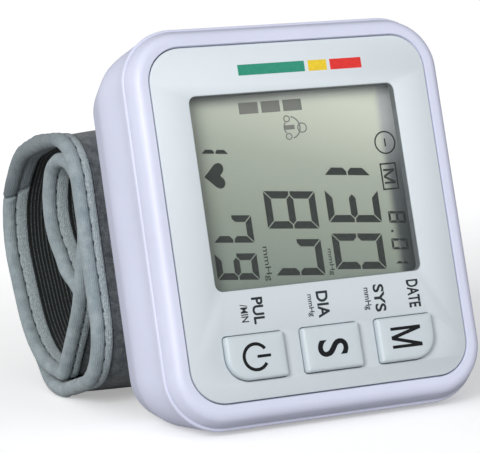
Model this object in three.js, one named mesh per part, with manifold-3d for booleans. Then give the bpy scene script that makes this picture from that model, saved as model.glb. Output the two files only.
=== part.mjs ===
// Wrist blood pressure monitor: a moulded housing with a display and three keys, carried on a rolled
// cloth cuff. Millimetres. The device frame has x along the wrist, y up the face and z out of the
// face, with its origin at the centre of the face panel's front. The whole device then leans back
// until the housing's lower side and the heel of the cuff lie on the ground, with z up.
import * as THREE from "three";
import { mergeVertices } from "three/addons/utils/BufferGeometryUtils.js";
import Module from "manifold-3d";

const wasm = await Module();
wasm.setup();

// Driving dimensions: clearances
const GAP = 0.3; // between rigid neighbours
const CLOTH_GAP = 0.2; // between layers of the cuff
const PANEL_GAP = 0.35; // line round the face panel
const KEY_GAP = 0.3; // line round each key

// Driving dimensions: housing
const LEAN = THREE.MathUtils.degToRad(14); // how far the face leans back
const PANEL_X = 58.8;
const PANEL_Y = 68;
const PANEL_CORNER = 6.8;
const PANEL_T = 1.6;
const DECK_T = 1.3; // front wall under the panel
const BEZEL_SPREAD = 3.1; // from the panel's edge out to the parting line
const BEZEL_DEPTH = 5.5; // parting line below the face
const BEZEL_RAKE = THREE.MathUtils.degToRad(76);
const BEZEL_EDGE_R = 1.3;
const BEZEL_RISE = 0.15; // lip above the panel
const BEZEL_WALL = 1.6;
const RIM_STEP = 2.2; // rear shell beyond the parting line
const RIM_LAP = 0.8; // rear shell under the foot of the bezel
const RIM_R = 1.2;
const WAIST_DEPTH = 16; // where the side wall turns to the resting flat
const WAIST_STEP = 2.15; // side wall inside the rim there
const SIDE_FULLNESS = 1.45; // left and right walls beyond the upper and lower ones
const BACK_R = 4;
const WALL = 2;

// Driving dimensions: display and keys
const WINDOW_X = 44;
const WINDOW_Y = 37.6;
const WINDOW_UP = 5.7;
const WINDOW_CORNER = 1.5;
const LENS_T = 1;
const LENS_LAP = 1.6;
const GLASS_T = 2.2;
const GLASS_LAP = 2.2;
const REFLECTOR_T = 0.4;
const FRAME_WALL = 1.3;
const LEDGE_T = 2.2;
const LEDGE_LAP = 2;
const ZEBRA_W = 1.8;
const FRAME_LIFT = 0.4; // frame's ledge above the board
const KEY_X = 12.2;
const KEY_Y = 8.6;
const KEY_PITCH = 16;
const KEY_ROW = -26;
const KEY_CORNER = 1.2;
const KEY_OUTER_CORNER = 4.6;
const KEY_RISE = 1.3;
const KEY_BEVEL = 0.8;
const KEY_FLANGE = 1;
const KEY_STEM_R = 2;
const KEY_TRAVEL = 0.6;
const SWITCH_SIZE = 6;
const SWITCH_H = 3.4;
const PLUNGER_R = 1.5;
const PLUNGER_RISE = 0.7; // plunger above its switch

// Driving dimensions: board and its parts
const BOARD_T = 1.2;
const BOARD_MARGIN = 2.4; // board inside the shell's side wall
const CHIP_SIZE = 10;
const CHIP_T = 1.4;
const BUZZER_R = 6;
const BUZZER_H = 3.5;
const SENSOR_SIZE = 7;
const SENSOR_H = 4;

// Driving dimensions: air system
const PUMP_Y = -1;
const MOTOR_R = 6;
const MOTOR_L = 17;
const MOTOR_END = -25; // rear end of the motor along the wrist
const HEAD_SIZE = 12.4;
const HEAD_L = 13.7;
const HEAD_BORE_R = 5;
const HEAD_BORE_L = 8.6;
const CAM_R = 3.2;
const CAM_THROW = 1;
const CAM_L = 4;
const SHAFT_R = 1;
const DIAPHRAGM_T = 1;
const BARB_R = 1.3;
const BARB_L = 2.5;
const HOSE_WALL = 1;
const AIR_BORE_R = 0.7;
const TEE_SIZE = 5;
const TEE_X = 16;
const TEE_Y = -11;
const SENSOR_X = 2;
const VALVE_SIZE = 10;
const VALVE_L = 12;
const VALVE_BORE_R = 2.3;
const VALVE_BORE_L = 9;
const VALVE_PLUNGER_L = 4.5;
const VALVE_WIRE_R = 0.25;
const VALVE_TRAVEL = 0.8;
const NIPPLE_R = 2.2;

// Driving dimensions: batteries
const CELL_R = 5.25;
const CELL_L = 43.3;
const CELL_NUB_R = 1.9;
const CELL_NUB_L = 1.2;
const CELL_PITCH = 11.5;
const BAY_WALL = 1.3;
const BAY_SPACE = 0.6; // free space round the cells
const BAY_CLEARANCE = 2.1; // between the board and the bay's roof
const SPRING_L = 4;
const SPRING_WIRE_R = 0.35;
const SPRING_TURNS = 3;
const CONTACT_T = 0.5;
const DOOR_RIDGES = 3;

// Driving dimensions: screws and saddle
const SCREW_X = 26;
const SCREW_Y = -21;
const SCREW_R = 1;
const SCREW_HEAD_R = 2;
const SCREW_HEAD_H = 1.5;
const SCREW_L = 14;
const SCREW_GRIP = 4; // thread inside the post
const POST_R = 2.2;
const BOSS_R = 3.3;
const HOOK_X = 15;
const HOOK_W = 6;
const HOOK_L = 3.4;
const SADDLE_X = 48;
const SADDLE_T = 3.1;
const SADDLE_CORNER = 5;
const PEG_R = 1.6;
const PEG_L = 2.4;

// Driving dimensions: cuff
const CUFF_X = 72;
const CLOTH_T = 0.7;
const TAPE_T = 0.5;
const TAPE_W = 4.2;
const FORMER_T = 0.4;
const BLADDER_T = 1.2;
const PAD_RAMP = 2.6; // sloping border of the padded stretch, along and across
const PAD_MARGIN = 0.9; // from that border to the edge tape
const BLADDER_INSET = 1; // bladder inside the former's edge
const LAP_GAP = 0.6; // between strap turns that lie on each other
const LOOP_TOP = 26.8;
const LOOP_LOW = 26.3;
const LOOP_DEPTH = 48.8; // outside of the front layer to outside of the back
const TOP_R = 10.8;
const LOW_R = 9;
const CREST_R = 16.8; // upper back of the loop
const CREST_UP = 8.3;
const BACK_R_LOOP = 22;
const BACK_STRAIGHT = 9;
const FOLD_R = 2.2;
const FOLD_DEPTH = 24.8;
const FLAP_R = 22;
const CURL_R = 11.5;
const CURL_STRAIGHT = 1;
const TAIL_L = 10;
const HOOK_TAPE_X = 50;
const HOOK_TAPE_L = 10;
const HOOK_TAPE_T = 0.6;
const TIP_HEADING = -36; // headings in degrees, 0 towards the face and 90 up the face
const BACK_HEADING = 284.5;
const FLAP_HEADING = 39;
const CURL_HEADING = 229;
const TAIL_HEADING = 308;

// Depths below the face, each from what lies above it
const DECK_TOP = PANEL_T + GAP;
const DECK_BOTTOM = DECK_TOP + DECK_T;
const GLASS_TOP = DECK_BOTTOM + 2 * GAP;
const GLASS_BOTTOM = GLASS_TOP + GLASS_T;
const REFLECTOR_TOP = GLASS_BOTTOM + CLOTH_GAP;
const LEDGE_TOP = REFLECTOR_TOP + REFLECTOR_T + CLOTH_GAP;
const BOARD_DEPTH = LEDGE_TOP + LEDGE_T + FRAME_LIFT;
const BOARD_UNDER = BOARD_DEPTH + BOARD_T;
const BAY_ROOF = BOARD_UNDER + BAY_CLEARANCE + BAY_WALL;
const CELL_DEPTH = BAY_ROOF + BAY_SPACE + CELL_R;
const FLOOR_DEPTH = CELL_DEPTH + CELL_R + BAY_SPACE + GAP;
const HOUSING_DEPTH = FLOOR_DEPTH + WALL;

// Widths of what lies between the edge tapes of the cuff
const FORMER_X = CUFF_X - 2 * (TAPE_W + PAD_MARGIN + PAD_RAMP + GAP);
const BLADDER_X = FORMER_X - 2 * BLADDER_INSET;

// Facets
const CORNER_STEPS = 5;
const ROUND_SIDES = 20;
const SMALL_SIDES = 12;
const HOSE_SIDES = 8;
const ARC_STEP = 12; // degrees

// Solids and booleans

function geometryFrom(vertices, triangles) {
  const geometry = new THREE.BufferGeometry();
  geometry.setAttribute("position", new THREE.Float32BufferAttribute(vertices.flat(), 3));
  geometry.setIndex(triangles.flat());
  return geometry;
}

function signedVolume(vertices, triangles) {
  let volume = 0;
  for (const [a, b, c] of triangles) {
    const [p, q, r] = [a, b, c].map((i) => new THREE.Vector3(...vertices[i]));
    volume += p.dot(q.cross(r)) / 6;
  }
  return volume;
}

// A closed body from vertices and triangles, with its faces turned outwards.
function closedBody(vertices, triangles) {
  const inward = signedVolume(vertices, triangles) < 0;
  const faces = inward ? triangles.map(([a, b, c]) => [a, c, b]) : triangles;
  return geometryFrom(vertices, faces);
}

function manifoldOf(geometry) {
  const bare = geometry.index ? geometry.toNonIndexed() : geometry.clone();
  for (const name of Object.keys(bare.attributes)) {
    if (name !== "position") bare.deleteAttribute(name);
  }
  const merged = mergeVertices(bare, 1e-4);
  const index = merged.index.array;
  const kept = [];
  for (let i = 0; i < index.length; i += 3) {
    const [a, b, c] = [index[i], index[i + 1], index[i + 2]];
    if (a !== b && b !== c && c !== a) kept.push(a, b, c);
  }
  const vertProperties = new Float32Array(merged.attributes.position.array);
  return new wasm.Manifold(
    new wasm.Mesh({ numProp: 3, vertProperties, triVerts: new Uint32Array(kept) }),
  );
}

function geometryOf(manifold) {
  const mesh = manifold.getMesh();
  const geometry = new THREE.BufferGeometry();
  geometry.setAttribute("position", new THREE.BufferAttribute(mesh.vertProperties, 3));
  geometry.setIndex(new THREE.BufferAttribute(mesh.triVerts, 1));
  return geometry;
}

function join(first, ...others) {
  return geometryOf(others.reduce((sum, g) => sum.add(manifoldOf(g)), manifoldOf(first)));
}

function cut(first, ...others) {
  return geometryOf(others.reduce((rest, g) => rest.subtract(manifoldOf(g)), manifoldOf(first)));
}

function common(first, second) {
  return geometryOf(manifoldOf(first).intersect(manifoldOf(second)));
}

// Basic shapes

function box([x0, x1], [y0, y1], [z0, z1]) {
  const geometry = new THREE.BoxGeometry(x1 - x0, y1 - y0, z1 - z0);
  return geometry.translate((x0 + x1) / 2, (y0 + y1) / 2, (z0 + z1) / 2);
}

function around(centre, size) {
  return [centre - size / 2, centre + size / 2];
}

// A turned body: the profile lists [radius, place along the axis] from the axis back to the axis.
function turned(axis, profile, sides = SMALL_SIDES) {
  const points = profile.map(([radius, along]) => new THREE.Vector2(radius, along));
  const geometry = new THREE.LatheGeometry(points, sides);
  if (axis === "x") geometry.rotateZ(-Math.PI / 2);
  if (axis === "z") geometry.rotateX(Math.PI / 2);
  return geometry;
}

function rod(axis, radius, from, to, sides = SMALL_SIDES) {
  return turned(axis, [[0, from], [radius, from], [radius, to], [0, to]], sides);
}

// A hollow turned body: the profile is a closed loop off the axis.
function ringOf(axis, inner, outer, from, to, sides = SMALL_SIDES) {
  return turned(axis, [[inner, from], [outer, from], [outer, to], [inner, to], [inner, from]], sides);
}

// One level of a loft: a rectangle with a radius at each corner, listed from the lower right corner
// round to the upper right, upper left and lower left.
function level([x0, x1], [y0, y1], radii, z) {
  const corners = [
    [x1, y0, -1, 1, -90],
    [x1, y1, -1, -1, 0],
    [x0, y1, 1, -1, 90],
    [x0, y0, 1, 1, 180],
  ];
  return corners.flatMap(([x, y, inX, inY, start], corner) => {
    const radius = Math.max(radii[corner], 0.02);
    return Array.from({ length: CORNER_STEPS + 1 }, (_, k) => {
      const angle = THREE.MathUtils.degToRad(start + (90 * k) / CORNER_STEPS);
      const cx = x + inX * radius;
      const cy = y + inY * radius;
      return [cx + radius * Math.cos(angle), cy + radius * Math.sin(angle), z];
    });
  });
}

// A closed loft through levels with equal numbers of points, capped at both ends.
function loft(levels) {
  const count = levels[0].length;
  const vertices = levels.flat();
  const triangles = [];
  for (let k = 0; k + 1 < levels.length; k++) {
    for (let i = 0; i < count; i++) {
      const next = (i + 1) % count;
      const [a, b] = [k * count + i, k * count + next];
      triangles.push([a, b, b + count], [a, b + count, a + count]);
    }
  }
  const last = (levels.length - 1) * count;
  for (let i = 1; i + 1 < count; i++) {
    triangles.push([0, i + 1, i], [last, last + i, last + i + 1]);
  }
  return closedBody(vertices, triangles);
}

function outline(points) {
  return new THREE.Shape(points.map(([x, y]) => new THREE.Vector2(x, y)));
}

// A flat plate between two depths, with holes given as loft levels.
function plate(edge, holes, z0, z1) {
  const shape = outline(edge);
  shape.holes = holes.map((hole) => new THREE.Path(outline(hole).getPoints().reverse()));
  const geometry = new THREE.ExtrudeGeometry(shape, { depth: z1 - z0, bevelEnabled: false });
  return geometry.translate(0, 0, z0);
}

function roundLevel(radius, x, y, sides = SMALL_SIDES) {
  return Array.from({ length: sides }, (_, k) => {
    const angle = (2 * Math.PI * k) / sides;
    return [x + radius * Math.cos(angle), y + radius * Math.sin(angle), 0];
  });
}

// A round tube along a curve, hollow when it has a bore.
function tube(points, radius, bore, steps, sides = HOSE_SIDES) {
  const shape = outline(roundLevel(radius, 0, 0, sides));
  if (bore > 0) shape.holes = [new THREE.Path(outline(roundLevel(bore, 0, 0, sides)).getPoints().reverse())];
  const path = new THREE.CatmullRomCurve3(points.map((p) => new THREE.Vector3(...p)));
  return new THREE.ExtrudeGeometry(shape, { steps, extrudePath: path, bevelEnabled: false });
}

// The object under construction

const part = new THREE.Group();
const device = new THREE.Group();
part.add(device);

function add(name, geometry, colour, roughness, metalness = 0) {
  const material = new THREE.MeshStandardMaterial({ color: colour, roughness, metalness });
  const mesh = new THREE.Mesh(geometry, material);
  mesh.name = name;
  device.add(mesh);
}

// Housing profile: each entry is [distance outside the panel's edge, depth below the face].

function bezelProfile() {
  const centreDepth = BEZEL_EDGE_R - BEZEL_RISE;
  const endDepth = centreDepth - BEZEL_EDGE_R * Math.cos(BEZEL_RAKE);
  const run = (BEZEL_DEPTH - endDepth) / Math.tan(BEZEL_RAKE);
  const centreOut = BEZEL_SPREAD - run - BEZEL_EDGE_R * Math.sin(BEZEL_RAKE);
  const steps = 4;
  const edge = Array.from({ length: steps + 1 }, (_, k) => {
    const angle = (BEZEL_RAKE * k) / steps;
    return [centreOut + BEZEL_EDGE_R * Math.sin(angle), centreDepth - BEZEL_EDGE_R * Math.cos(angle)];
  });
  return [...edge, [BEZEL_SPREAD, BEZEL_DEPTH]];
}

const RIM_DEPTH = BEZEL_DEPTH + GAP;
const RIM_OUT = BEZEL_SPREAD + RIM_STEP;
const WAIST_OUT = RIM_OUT - WAIST_STEP;
const RIM_INSIDE = BEZEL_SPREAD - RIM_LAP;
const BACK_CENTRE_DEPTH = HOUSING_DEPTH - BACK_R;
const FLAT_END_DEPTH = BACK_CENTRE_DEPTH + BACK_R * Math.sin(LEAN);
const FLAT_END_OUT = WAIST_OUT - (FLAT_END_DEPTH - WAIST_DEPTH) * Math.tan(LEAN);
const BACK_CENTRE_OUT = FLAT_END_OUT - BACK_R * Math.cos(LEAN);

function backArc(radius) {
  const steps = 4;
  return Array.from({ length: steps + 1 }, (_, k) => {
    const angle = LEAN + ((Math.PI / 2 - LEAN) * k) / steps;
    const out = BACK_CENTRE_OUT + radius * Math.cos(angle);
    const depth = BACK_CENTRE_DEPTH + radius * Math.sin(angle);
    return [out, depth, SIDE_FULLNESS];
  });
}

function shellProfile() {
  const rim = [0, 1, 2, 3].map((k) => {
    const angle = (Math.PI / 2) * (k / 3);
    return [RIM_OUT - RIM_R * (1 - Math.sin(angle)), RIM_DEPTH + RIM_R * (1 - Math.cos(angle))];
  });
  return [...rim, [WAIST_OUT, WAIST_DEPTH, SIDE_FULLNESS], ...backArc(BACK_R)];
}

function cavityProfile() {
  const rim = [[RIM_INSIDE, RIM_DEPTH], [RIM_INSIDE, RIM_DEPTH + RIM_R]];
  return [...rim, [WAIST_OUT - WALL, WAIST_DEPTH, SIDE_FULLNESS], ...backArc(BACK_R - WALL)];
}

// How far the shell's inner wall lies outside the panel's edge at a depth of its side wall.
function wallOut(depth) {
  const [from, to] = [RIM_DEPTH + RIM_R, WAIST_DEPTH];
  const share = (depth - from) / (to - from);
  return RIM_INSIDE + (WAIST_OUT - WALL - RIM_INSIDE) * Math.min(Math.max(share, 0), 1);
}

// A level of the housing outside the panel's edge; the left and right walls can stand further out.
function housingLevel([out, depth, side = 0]) {
  const corner = PANEL_CORNER + out + 2 * side;
  const radii = [corner, corner, corner, corner];
  return level(around(0, PANEL_X + 2 * (out + side)), around(0, PANEL_Y + 2 * out), radii, -depth);
}

function roundedLevel(sizeX, sizeY, centreY, corner) {
  return level(around(0, sizeX), around(centreY, sizeY), [corner, corner, corner, corner], 0);
}

// Keys: the lower outer corner of each end key follows the panel's own corner.
const KEYS = [
  { name: "power", x: -KEY_PITCH, rounded: "left" },
  { name: "set", x: 0, rounded: "none" },
  { name: "memory", x: KEY_PITCH, rounded: "right" },
];

function keyLevel(key, grow, z) {
  const lower = (side) => (key.rounded === side ? KEY_OUTER_CORNER : KEY_CORNER);
  const radii = [lower("right"), KEY_CORNER, KEY_CORNER, lower("left")].map((r) => r + grow);
  return level(around(key.x, KEY_X + 2 * grow), around(KEY_ROW, KEY_Y + 2 * grow), radii, z);
}

const FLANGE_BOTTOM = DECK_TOP + KEY_FLANGE;
const PLUNGER_TOP = BOARD_DEPTH - SWITCH_H - PLUNGER_RISE;
const WINDOW_BAND = roundedLevel(WINDOW_X, WINDOW_Y, WINDOW_UP, WINDOW_CORNER);

function windowLevel(grow) {
  return roundedLevel(WINDOW_X + 2 * grow, WINDOW_Y + 2 * grow, WINDOW_UP, WINDOW_CORNER);
}

const SHELL_COLOUR = 0xdfe3f2;
const PANEL_COLOUR = 0xdbe3e7;
const SCREW_PLACES = [-SCREW_X, SCREW_X];
const SEAT_DEPTH = HOUSING_DEPTH - SCREW_HEAD_H - 1;
const POST_END = SEAT_DEPTH - SCREW_L + SCREW_GRIP;

function frontBezel() {
  const bed = [[PANEL_GAP, DECK_TOP], [PANEL_GAP, BEZEL_EDGE_R / 2]];
  const inside = [[BEZEL_SPREAD - BEZEL_WALL, BEZEL_DEPTH], [BEZEL_SPREAD - BEZEL_WALL, DECK_BOTTOM]];
  const frame = loft([...bed, ...bezelProfile(), ...inside].map(housingLevel));
  const through = [-DECK_BOTTOM - 1, -DECK_TOP + 1];
  const openings = [
    plate(windowLevel(LENS_LAP + GAP), [], ...through),
    ...KEYS.map((key) => plate(keyLevel(key, KEY_FLANGE + GAP, 0), [], ...through)),
  ];
  const lap = 0.4; // posts and hooks grow out of the wall that carries them
  const posts = SCREW_PLACES.map((x) =>
    rod("z", POST_R, -POST_END, -DECK_BOTTOM + lap).translate(x, SCREW_Y, 0),
  );
  const pilots = SCREW_PLACES.map((x) =>
    rod("z", SCREW_R + GAP, -POST_END - 1, -DECK_BOTTOM - 1).translate(x, SCREW_Y, 0),
  );
  const hookTop = PANEL_Y / 2 + wallOut(BEZEL_DEPTH + HOOK_L) - GAP;
  const hooks = [-HOOK_X, HOOK_X].map((x) =>
    box(around(x, HOOK_W), [hookTop - WALL / 2, hookTop], [-BEZEL_DEPTH - HOOK_L, -DECK_BOTTOM]),
  );
  return cut(join(cut(frame, ...openings), ...posts, ...hooks), ...pilots);
}

function facePanel() {
  const edge = roundedLevel(PANEL_X, PANEL_Y, 0, PANEL_CORNER);
  const holes = [WINDOW_BAND, ...KEYS.map((key) => keyLevel(key, KEY_GAP, 0))];
  return plate(edge, holes, -PANEL_T, 0);
}

// Battery bay: two cells side by side along the wrist, under the upper part of the housing.
const BAY_HALF_X = (CELL_L + CELL_NUB_L + SPRING_L) / 2 + CONTACT_T + 2 * GAP;
const BAY_TOP_Y = PANEL_Y / 2 + FLAT_END_OUT - WALL - BAY_SPACE;
const CELL_YS = [BAY_TOP_Y - CELL_R - BAY_SPACE, BAY_TOP_Y - CELL_R - BAY_SPACE - CELL_PITCH];
const BAY_LOW_Y = CELL_YS[1] - CELL_R - BAY_SPACE;
const FAR = 100; // past every face

function bayHollow(clearance) {
  const x = around(0, 2 * (BAY_HALF_X - clearance));
  return box(x, [BAY_LOW_Y + clearance, FAR], [-FAR, -BAY_ROOF - clearance]);
}

function shellSolid() {
  const levels = [...cavityProfile().reverse(), ...shellProfile()].map(housingLevel);
  return loft(levels);
}

function pumpCradle(x) {
  const rib = box(around(x, 1.6), around(PUMP_Y, 2 * MOTOR_R), [-FLOOR_DEPTH - 0.5, -PUMP_DEPTH - 2]);
  return cut(rib, rod("x", MOTOR_R + GAP, x - 2, x + 2, ROUND_SIDES).translate(0, PUMP_Y, -PUMP_DEPTH));
}

const PUMP_DEPTH = FLOOR_DEPTH - GAP - HEAD_SIZE / 2;
const HEAD_X0 = MOTOR_END + MOTOR_L + GAP;
const HEAD_X1 = HEAD_X0 + HEAD_L;

// Saddle between the housing's back and the cuff
const SADDLE_TOP_Y = BAY_LOW_Y - 2 * GAP;
const SADDLE_LOW_Y = -LOOP_LOW + LOW_R + CLOTH_T;
const SADDLE_DEPTH = HOUSING_DEPTH + GAP;
const PEGS = [-1, 1].flatMap((sideX) =>
  [SADDLE_LOW_Y + 2 * SADDLE_CORNER, SADDLE_TOP_Y - SADDLE_CORNER].map((y) => [
    sideX * (SADDLE_X / 2 - SADDLE_CORNER),
    y,
  ]),
);

function pegHoles(radius) {
  return PEGS.map(([x, y]) =>
    rod("z", radius, -HOUSING_DEPTH - 1, -FLOOR_DEPTH + 1).translate(x, y, 0),
  );
}

function nippleHole() {
  return rod("z", NIPPLE_R + GAP, -FAR, -FLOOR_DEPTH + 1).translate(TEE_X, TEE_Y, 0);
}

function rearShell() {
  const solid = shellSolid();
  const filled = loft(shellProfile().map(housingLevel));
  const bayX = around(0, 2 * (BAY_HALF_X + BAY_WALL));
  const bayY = [BAY_LOW_Y - BAY_WALL, BAY_TOP_Y + WALL];
  const bay = box(bayX, bayY, [-FLOOR_DEPTH - 0.5, -BAY_ROOF + BAY_WALL]);
  const bosses = SCREW_PLACES.map((x) =>
    rod("z", BOSS_R, -FLOOR_DEPTH - 0.5, -POST_END - GAP).translate(x, SCREW_Y, 0),
  );
  const cradles = [MOTOR_END + 4, MOTOR_END + MOTOR_L - 4].map(pumpCradle);
  const inner = common(join(bay, ...bosses, ...cradles), filled);
  const screwHoles = SCREW_PLACES.flatMap((x) => [
    rod("z", SCREW_R + GAP, -FAR, 0).translate(x, SCREW_Y, 0),
    rod("z", SCREW_HEAD_R + GAP, -FAR, -SEAT_DEPTH).translate(x, SCREW_Y, 0),
  ]);
  const holes = [bayHollow(0), nippleHole(), ...pegHoles(PEG_R + GAP), ...screwHoles];
  return cut(join(solid, inner), ...holes);
}

// The battery cover is the piece of the shell that the bay's opening leaves, with grip ridges.
function batteryDoor() {
  const cover = common(shellSolid(), bayHollow(GAP));
  const ridgeY = BAY_LOW_Y + CELL_PITCH;
  const ridges = Array.from({ length: DOOR_RIDGES }, (_, k) => {
    const y = ridgeY + 2 * k;
    return box(around(0, BAY_HALF_X), around(y, 0.9), [-HOUSING_DEPTH - 0.5, -HOUSING_DEPTH + 0.5]);
  });
  return join(cover, ...ridges);
}

function housingScrew(x) {
  const profile = [
    [0, -SEAT_DEPTH - SCREW_HEAD_H],
    [SCREW_HEAD_R, -SEAT_DEPTH - SCREW_HEAD_H],
    [SCREW_HEAD_R, -SEAT_DEPTH - GAP],
    [SCREW_R, -SEAT_DEPTH - GAP],
    [SCREW_R, -SEAT_DEPTH + SCREW_L - 1],
    [0, -SEAT_DEPTH + SCREW_L],
  ];
  return turned("z", profile).translate(x, SCREW_Y, 0);
}

// Display
const ZEBRA_Y = WINDOW_UP - WINDOW_Y / 2 - GLASS_LAP + ZEBRA_W;

function displayLens() {
  return plate(windowLevel(LENS_LAP), [], -DECK_TOP - LENS_T, -DECK_TOP);
}

function lcdGlass() {
  const front = plate(windowLevel(GLASS_LAP - 0.6), [], -GLASS_TOP - GLASS_T / 2, -GLASS_TOP);
  const back = plate(windowLevel(GLASS_LAP), [], -GLASS_BOTTOM, -GLASS_TOP - GLASS_T / 2 + 0.05);
  return join(front, back);
}

function lcdReflector() {
  const low = ZEBRA_Y + ZEBRA_W / 2 + GAP;
  const high = WINDOW_UP + WINDOW_Y / 2 + GLASS_LAP;
  const radii = Array(4).fill(WINDOW_CORNER);
  const edge = level(around(0, WINDOW_X + 2 * GLASS_LAP), [low, high], radii, 0);
  return plate(edge, [], -REFLECTOR_TOP - REFLECTOR_T, -REFLECTOR_TOP);
}

function lcdFrame() {
  const outer = windowLevel(GLASS_LAP + GAP + FRAME_WALL);
  const body = plate(outer, [windowLevel(-LEDGE_LAP)], -LEDGE_TOP - LEDGE_T, -DECK_BOTTOM - GAP);
  const pocket = plate(windowLevel(GLASS_LAP + GAP), [], -LEDGE_TOP, 0);
  const slotX = around(0, WINDOW_X + 2 * GAP);
  const slot = box(slotX, around(ZEBRA_Y, ZEBRA_W + 2 * GAP), [-FAR, 0]);
  const legs = [-1, 1].map((side) => {
    const y = WINDOW_UP + side * (WINDOW_Y / 2 + GLASS_LAP + GAP + FRAME_WALL / 2);
    return box(around(0, WINDOW_X), around(y, FRAME_WALL), [-BOARD_DEPTH + GAP, -LEDGE_TOP]);
  });
  return join(cut(body, pocket, slot), ...legs);
}

function zebraConnector() {
  return box(around(0, WINDOW_X), around(ZEBRA_Y, ZEBRA_W), [-BOARD_DEPTH + GAP, -GLASS_BOTTOM - GAP]);
}

// Keys and switches

function keyCap(key) {
  const flange = loft([keyLevel(key, KEY_FLANGE, -FLANGE_BOTTOM), keyLevel(key, KEY_FLANGE, -DECK_TOP)]);
  const cap = loft([
    keyLevel(key, 0, -FLANGE_BOTTOM + KEY_FLANGE / 2),
    keyLevel(key, 0, KEY_RISE - KEY_BEVEL / 2),
    keyLevel(key, -KEY_BEVEL / 2, KEY_RISE - KEY_BEVEL / 8),
    keyLevel(key, -KEY_BEVEL, KEY_RISE),
  ]);
  const stem = rod("z", KEY_STEM_R, -PLUNGER_TOP + GAP, -FLANGE_BOTTOM + KEY_FLANGE / 2);
  return join(flange, cap, stem.translate(key.x, KEY_ROW, 0));
}

function switchBody(key) {
  const size = around(0, SWITCH_SIZE);
  const body = box(size, size, [-BOARD_DEPTH + GAP, -BOARD_DEPTH + SWITCH_H]);
  const bore = rod("z", PLUNGER_R + GAP, -BOARD_DEPTH + 1, 0);
  return cut(body, bore).translate(key.x, KEY_ROW, 0);
}

function switchPlunger(key) {
  const foot = -BOARD_DEPTH + 1 + KEY_TRAVEL + GAP;
  return rod("z", PLUNGER_R, foot, -PLUNGER_TOP).translate(key.x, KEY_ROW, 0);
}

// Board and what it carries
const BUZZER_X = -KEY_PITCH - BUZZER_R / 2;

function mainBoard() {
  const out = wallOut(BOARD_DEPTH) - BOARD_MARGIN;
  const edge = roundedLevel(PANEL_X + 2 * out, PANEL_Y + 2 * out, 0, PANEL_CORNER);
  const holes = SCREW_PLACES.map((x) => roundLevel(POST_R + GAP, x, SCREW_Y));
  return plate(edge, holes, -BOARD_UNDER, -BOARD_DEPTH);
}

function chip() {
  const top = -BOARD_UNDER - GAP;
  const left = BUZZER_X + BUZZER_R + 2 * GAP;
  const y = around(KEY_ROW + CHIP_SIZE / 2, CHIP_SIZE);
  return box([left, left + CHIP_SIZE], y, [top - CHIP_T, top]);
}

function buzzer() {
  const top = -BOARD_UNDER - GAP;
  const can = rod("z", BUZZER_R, top - BUZZER_H, top, ROUND_SIDES);
  const soundHole = rod("z", BUZZER_R / 5, top - BUZZER_H - 1, top - BUZZER_H / 2);
  return cut(can, soundHole).translate(BUZZER_X, KEY_ROW, 0);
}

function pressureSensor() {
  const top = -BOARD_UNDER - GAP;
  const foot = top - SENSOR_H;
  const body = box(around(SENSOR_X, SENSOR_SIZE), around(TEE_Y, SENSOR_SIZE), [foot, top]);
  const port = rod("z", BARB_R, foot - BARB_L, foot + 0.5).translate(SENSOR_X, TEE_Y, 0);
  const bore = rod("z", AIR_BORE_R, foot - BARB_L - 1, foot + 1).translate(SENSOR_X, TEE_Y, 0);
  return cut(join(body, port), bore);
}

// Pump: a round motor turns a cam that works a diaphragm in the pump head.

function pumpMotor() {
  const end = MOTOR_END + MOTOR_L;
  const profile = [
    [0, MOTOR_END],
    [MOTOR_R - 1, MOTOR_END],
    [MOTOR_R, MOTOR_END + 1],
    [MOTOR_R, end - 0.6],
    [MOTOR_R - 0.6, end],
    [0, end],
  ];
  return turned("x", profile, ROUND_SIDES).translate(0, PUMP_Y, -PUMP_DEPTH);
}

function pumpHead() {
  const size = around(0, HEAD_SIZE);
  const block = box([HEAD_X0, HEAD_X1], size, size);
  const bore = rod("x", HEAD_BORE_R, HEAD_X0 - 1, HEAD_X0 + HEAD_BORE_L, ROUND_SIDES);
  const port = rod("x", BARB_R, HEAD_X1 - 0.5, HEAD_X1 + BARB_L);
  const outlet = rod("x", AIR_BORE_R, HEAD_X0 + HEAD_BORE_L - 1, HEAD_X1 + BARB_L + 1);
  return cut(join(block, port), bore, outlet).translate(0, PUMP_Y, -PUMP_DEPTH);
}

function pumpCam() {
  const shaft = rod("x", SHAFT_R, HEAD_X0, HEAD_X0 + CAM_L);
  const disc = rod("x", CAM_R, HEAD_X0 + 1, HEAD_X0 + CAM_L, ROUND_SIDES).translate(0, -CAM_THROW, 0);
  return join(shaft, disc).translate(0, PUMP_Y, -PUMP_DEPTH);
}

function pumpDiaphragm() {
  const rim = HEAD_BORE_R - GAP;
  const front = HEAD_X0 + HEAD_BORE_L - GAP;
  const profile = [
    [0, front - 2 * DIAPHRAGM_T],
    [rim / 2, front - 2 * DIAPHRAGM_T],
    [rim * 0.7, front - DIAPHRAGM_T],
    [rim, front - DIAPHRAGM_T],
    [rim, front],
    [0, front],
  ];
  return turned("x", profile, ROUND_SIDES).translate(0, PUMP_Y, -PUMP_DEPTH);
}

// Air tee over the cuff's nipple, with a port each for pump, valve, sensor and cuff
const TEE_HALF = TEE_SIZE / 2;

function airTee() {
  const size = around(0, TEE_SIZE);
  const reach = TEE_HALF + BARB_L;
  const runs = [
    ["y", -reach, reach],
    ["x", -reach, 0],
    ["z", -reach, 0],
  ];
  const ports = runs.map(([axis, from, to]) => rod(axis, BARB_R, from, to));
  const bores = runs.map(([axis, from, to]) => rod(axis, AIR_BORE_R, from - 1, to + (to ? 1 : 0)));
  return cut(join(box(size, size, size), ...ports), ...bores).translate(TEE_X, TEE_Y, -PUMP_DEPTH);
}

const HOSE_BORE = BARB_R + GAP;
const HOSE_R = HOSE_BORE + HOSE_WALL;
const VALVE_TOP_Y = TEE_Y - TEE_HALF - 2 * BARB_L - 2 * GAP;

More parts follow.
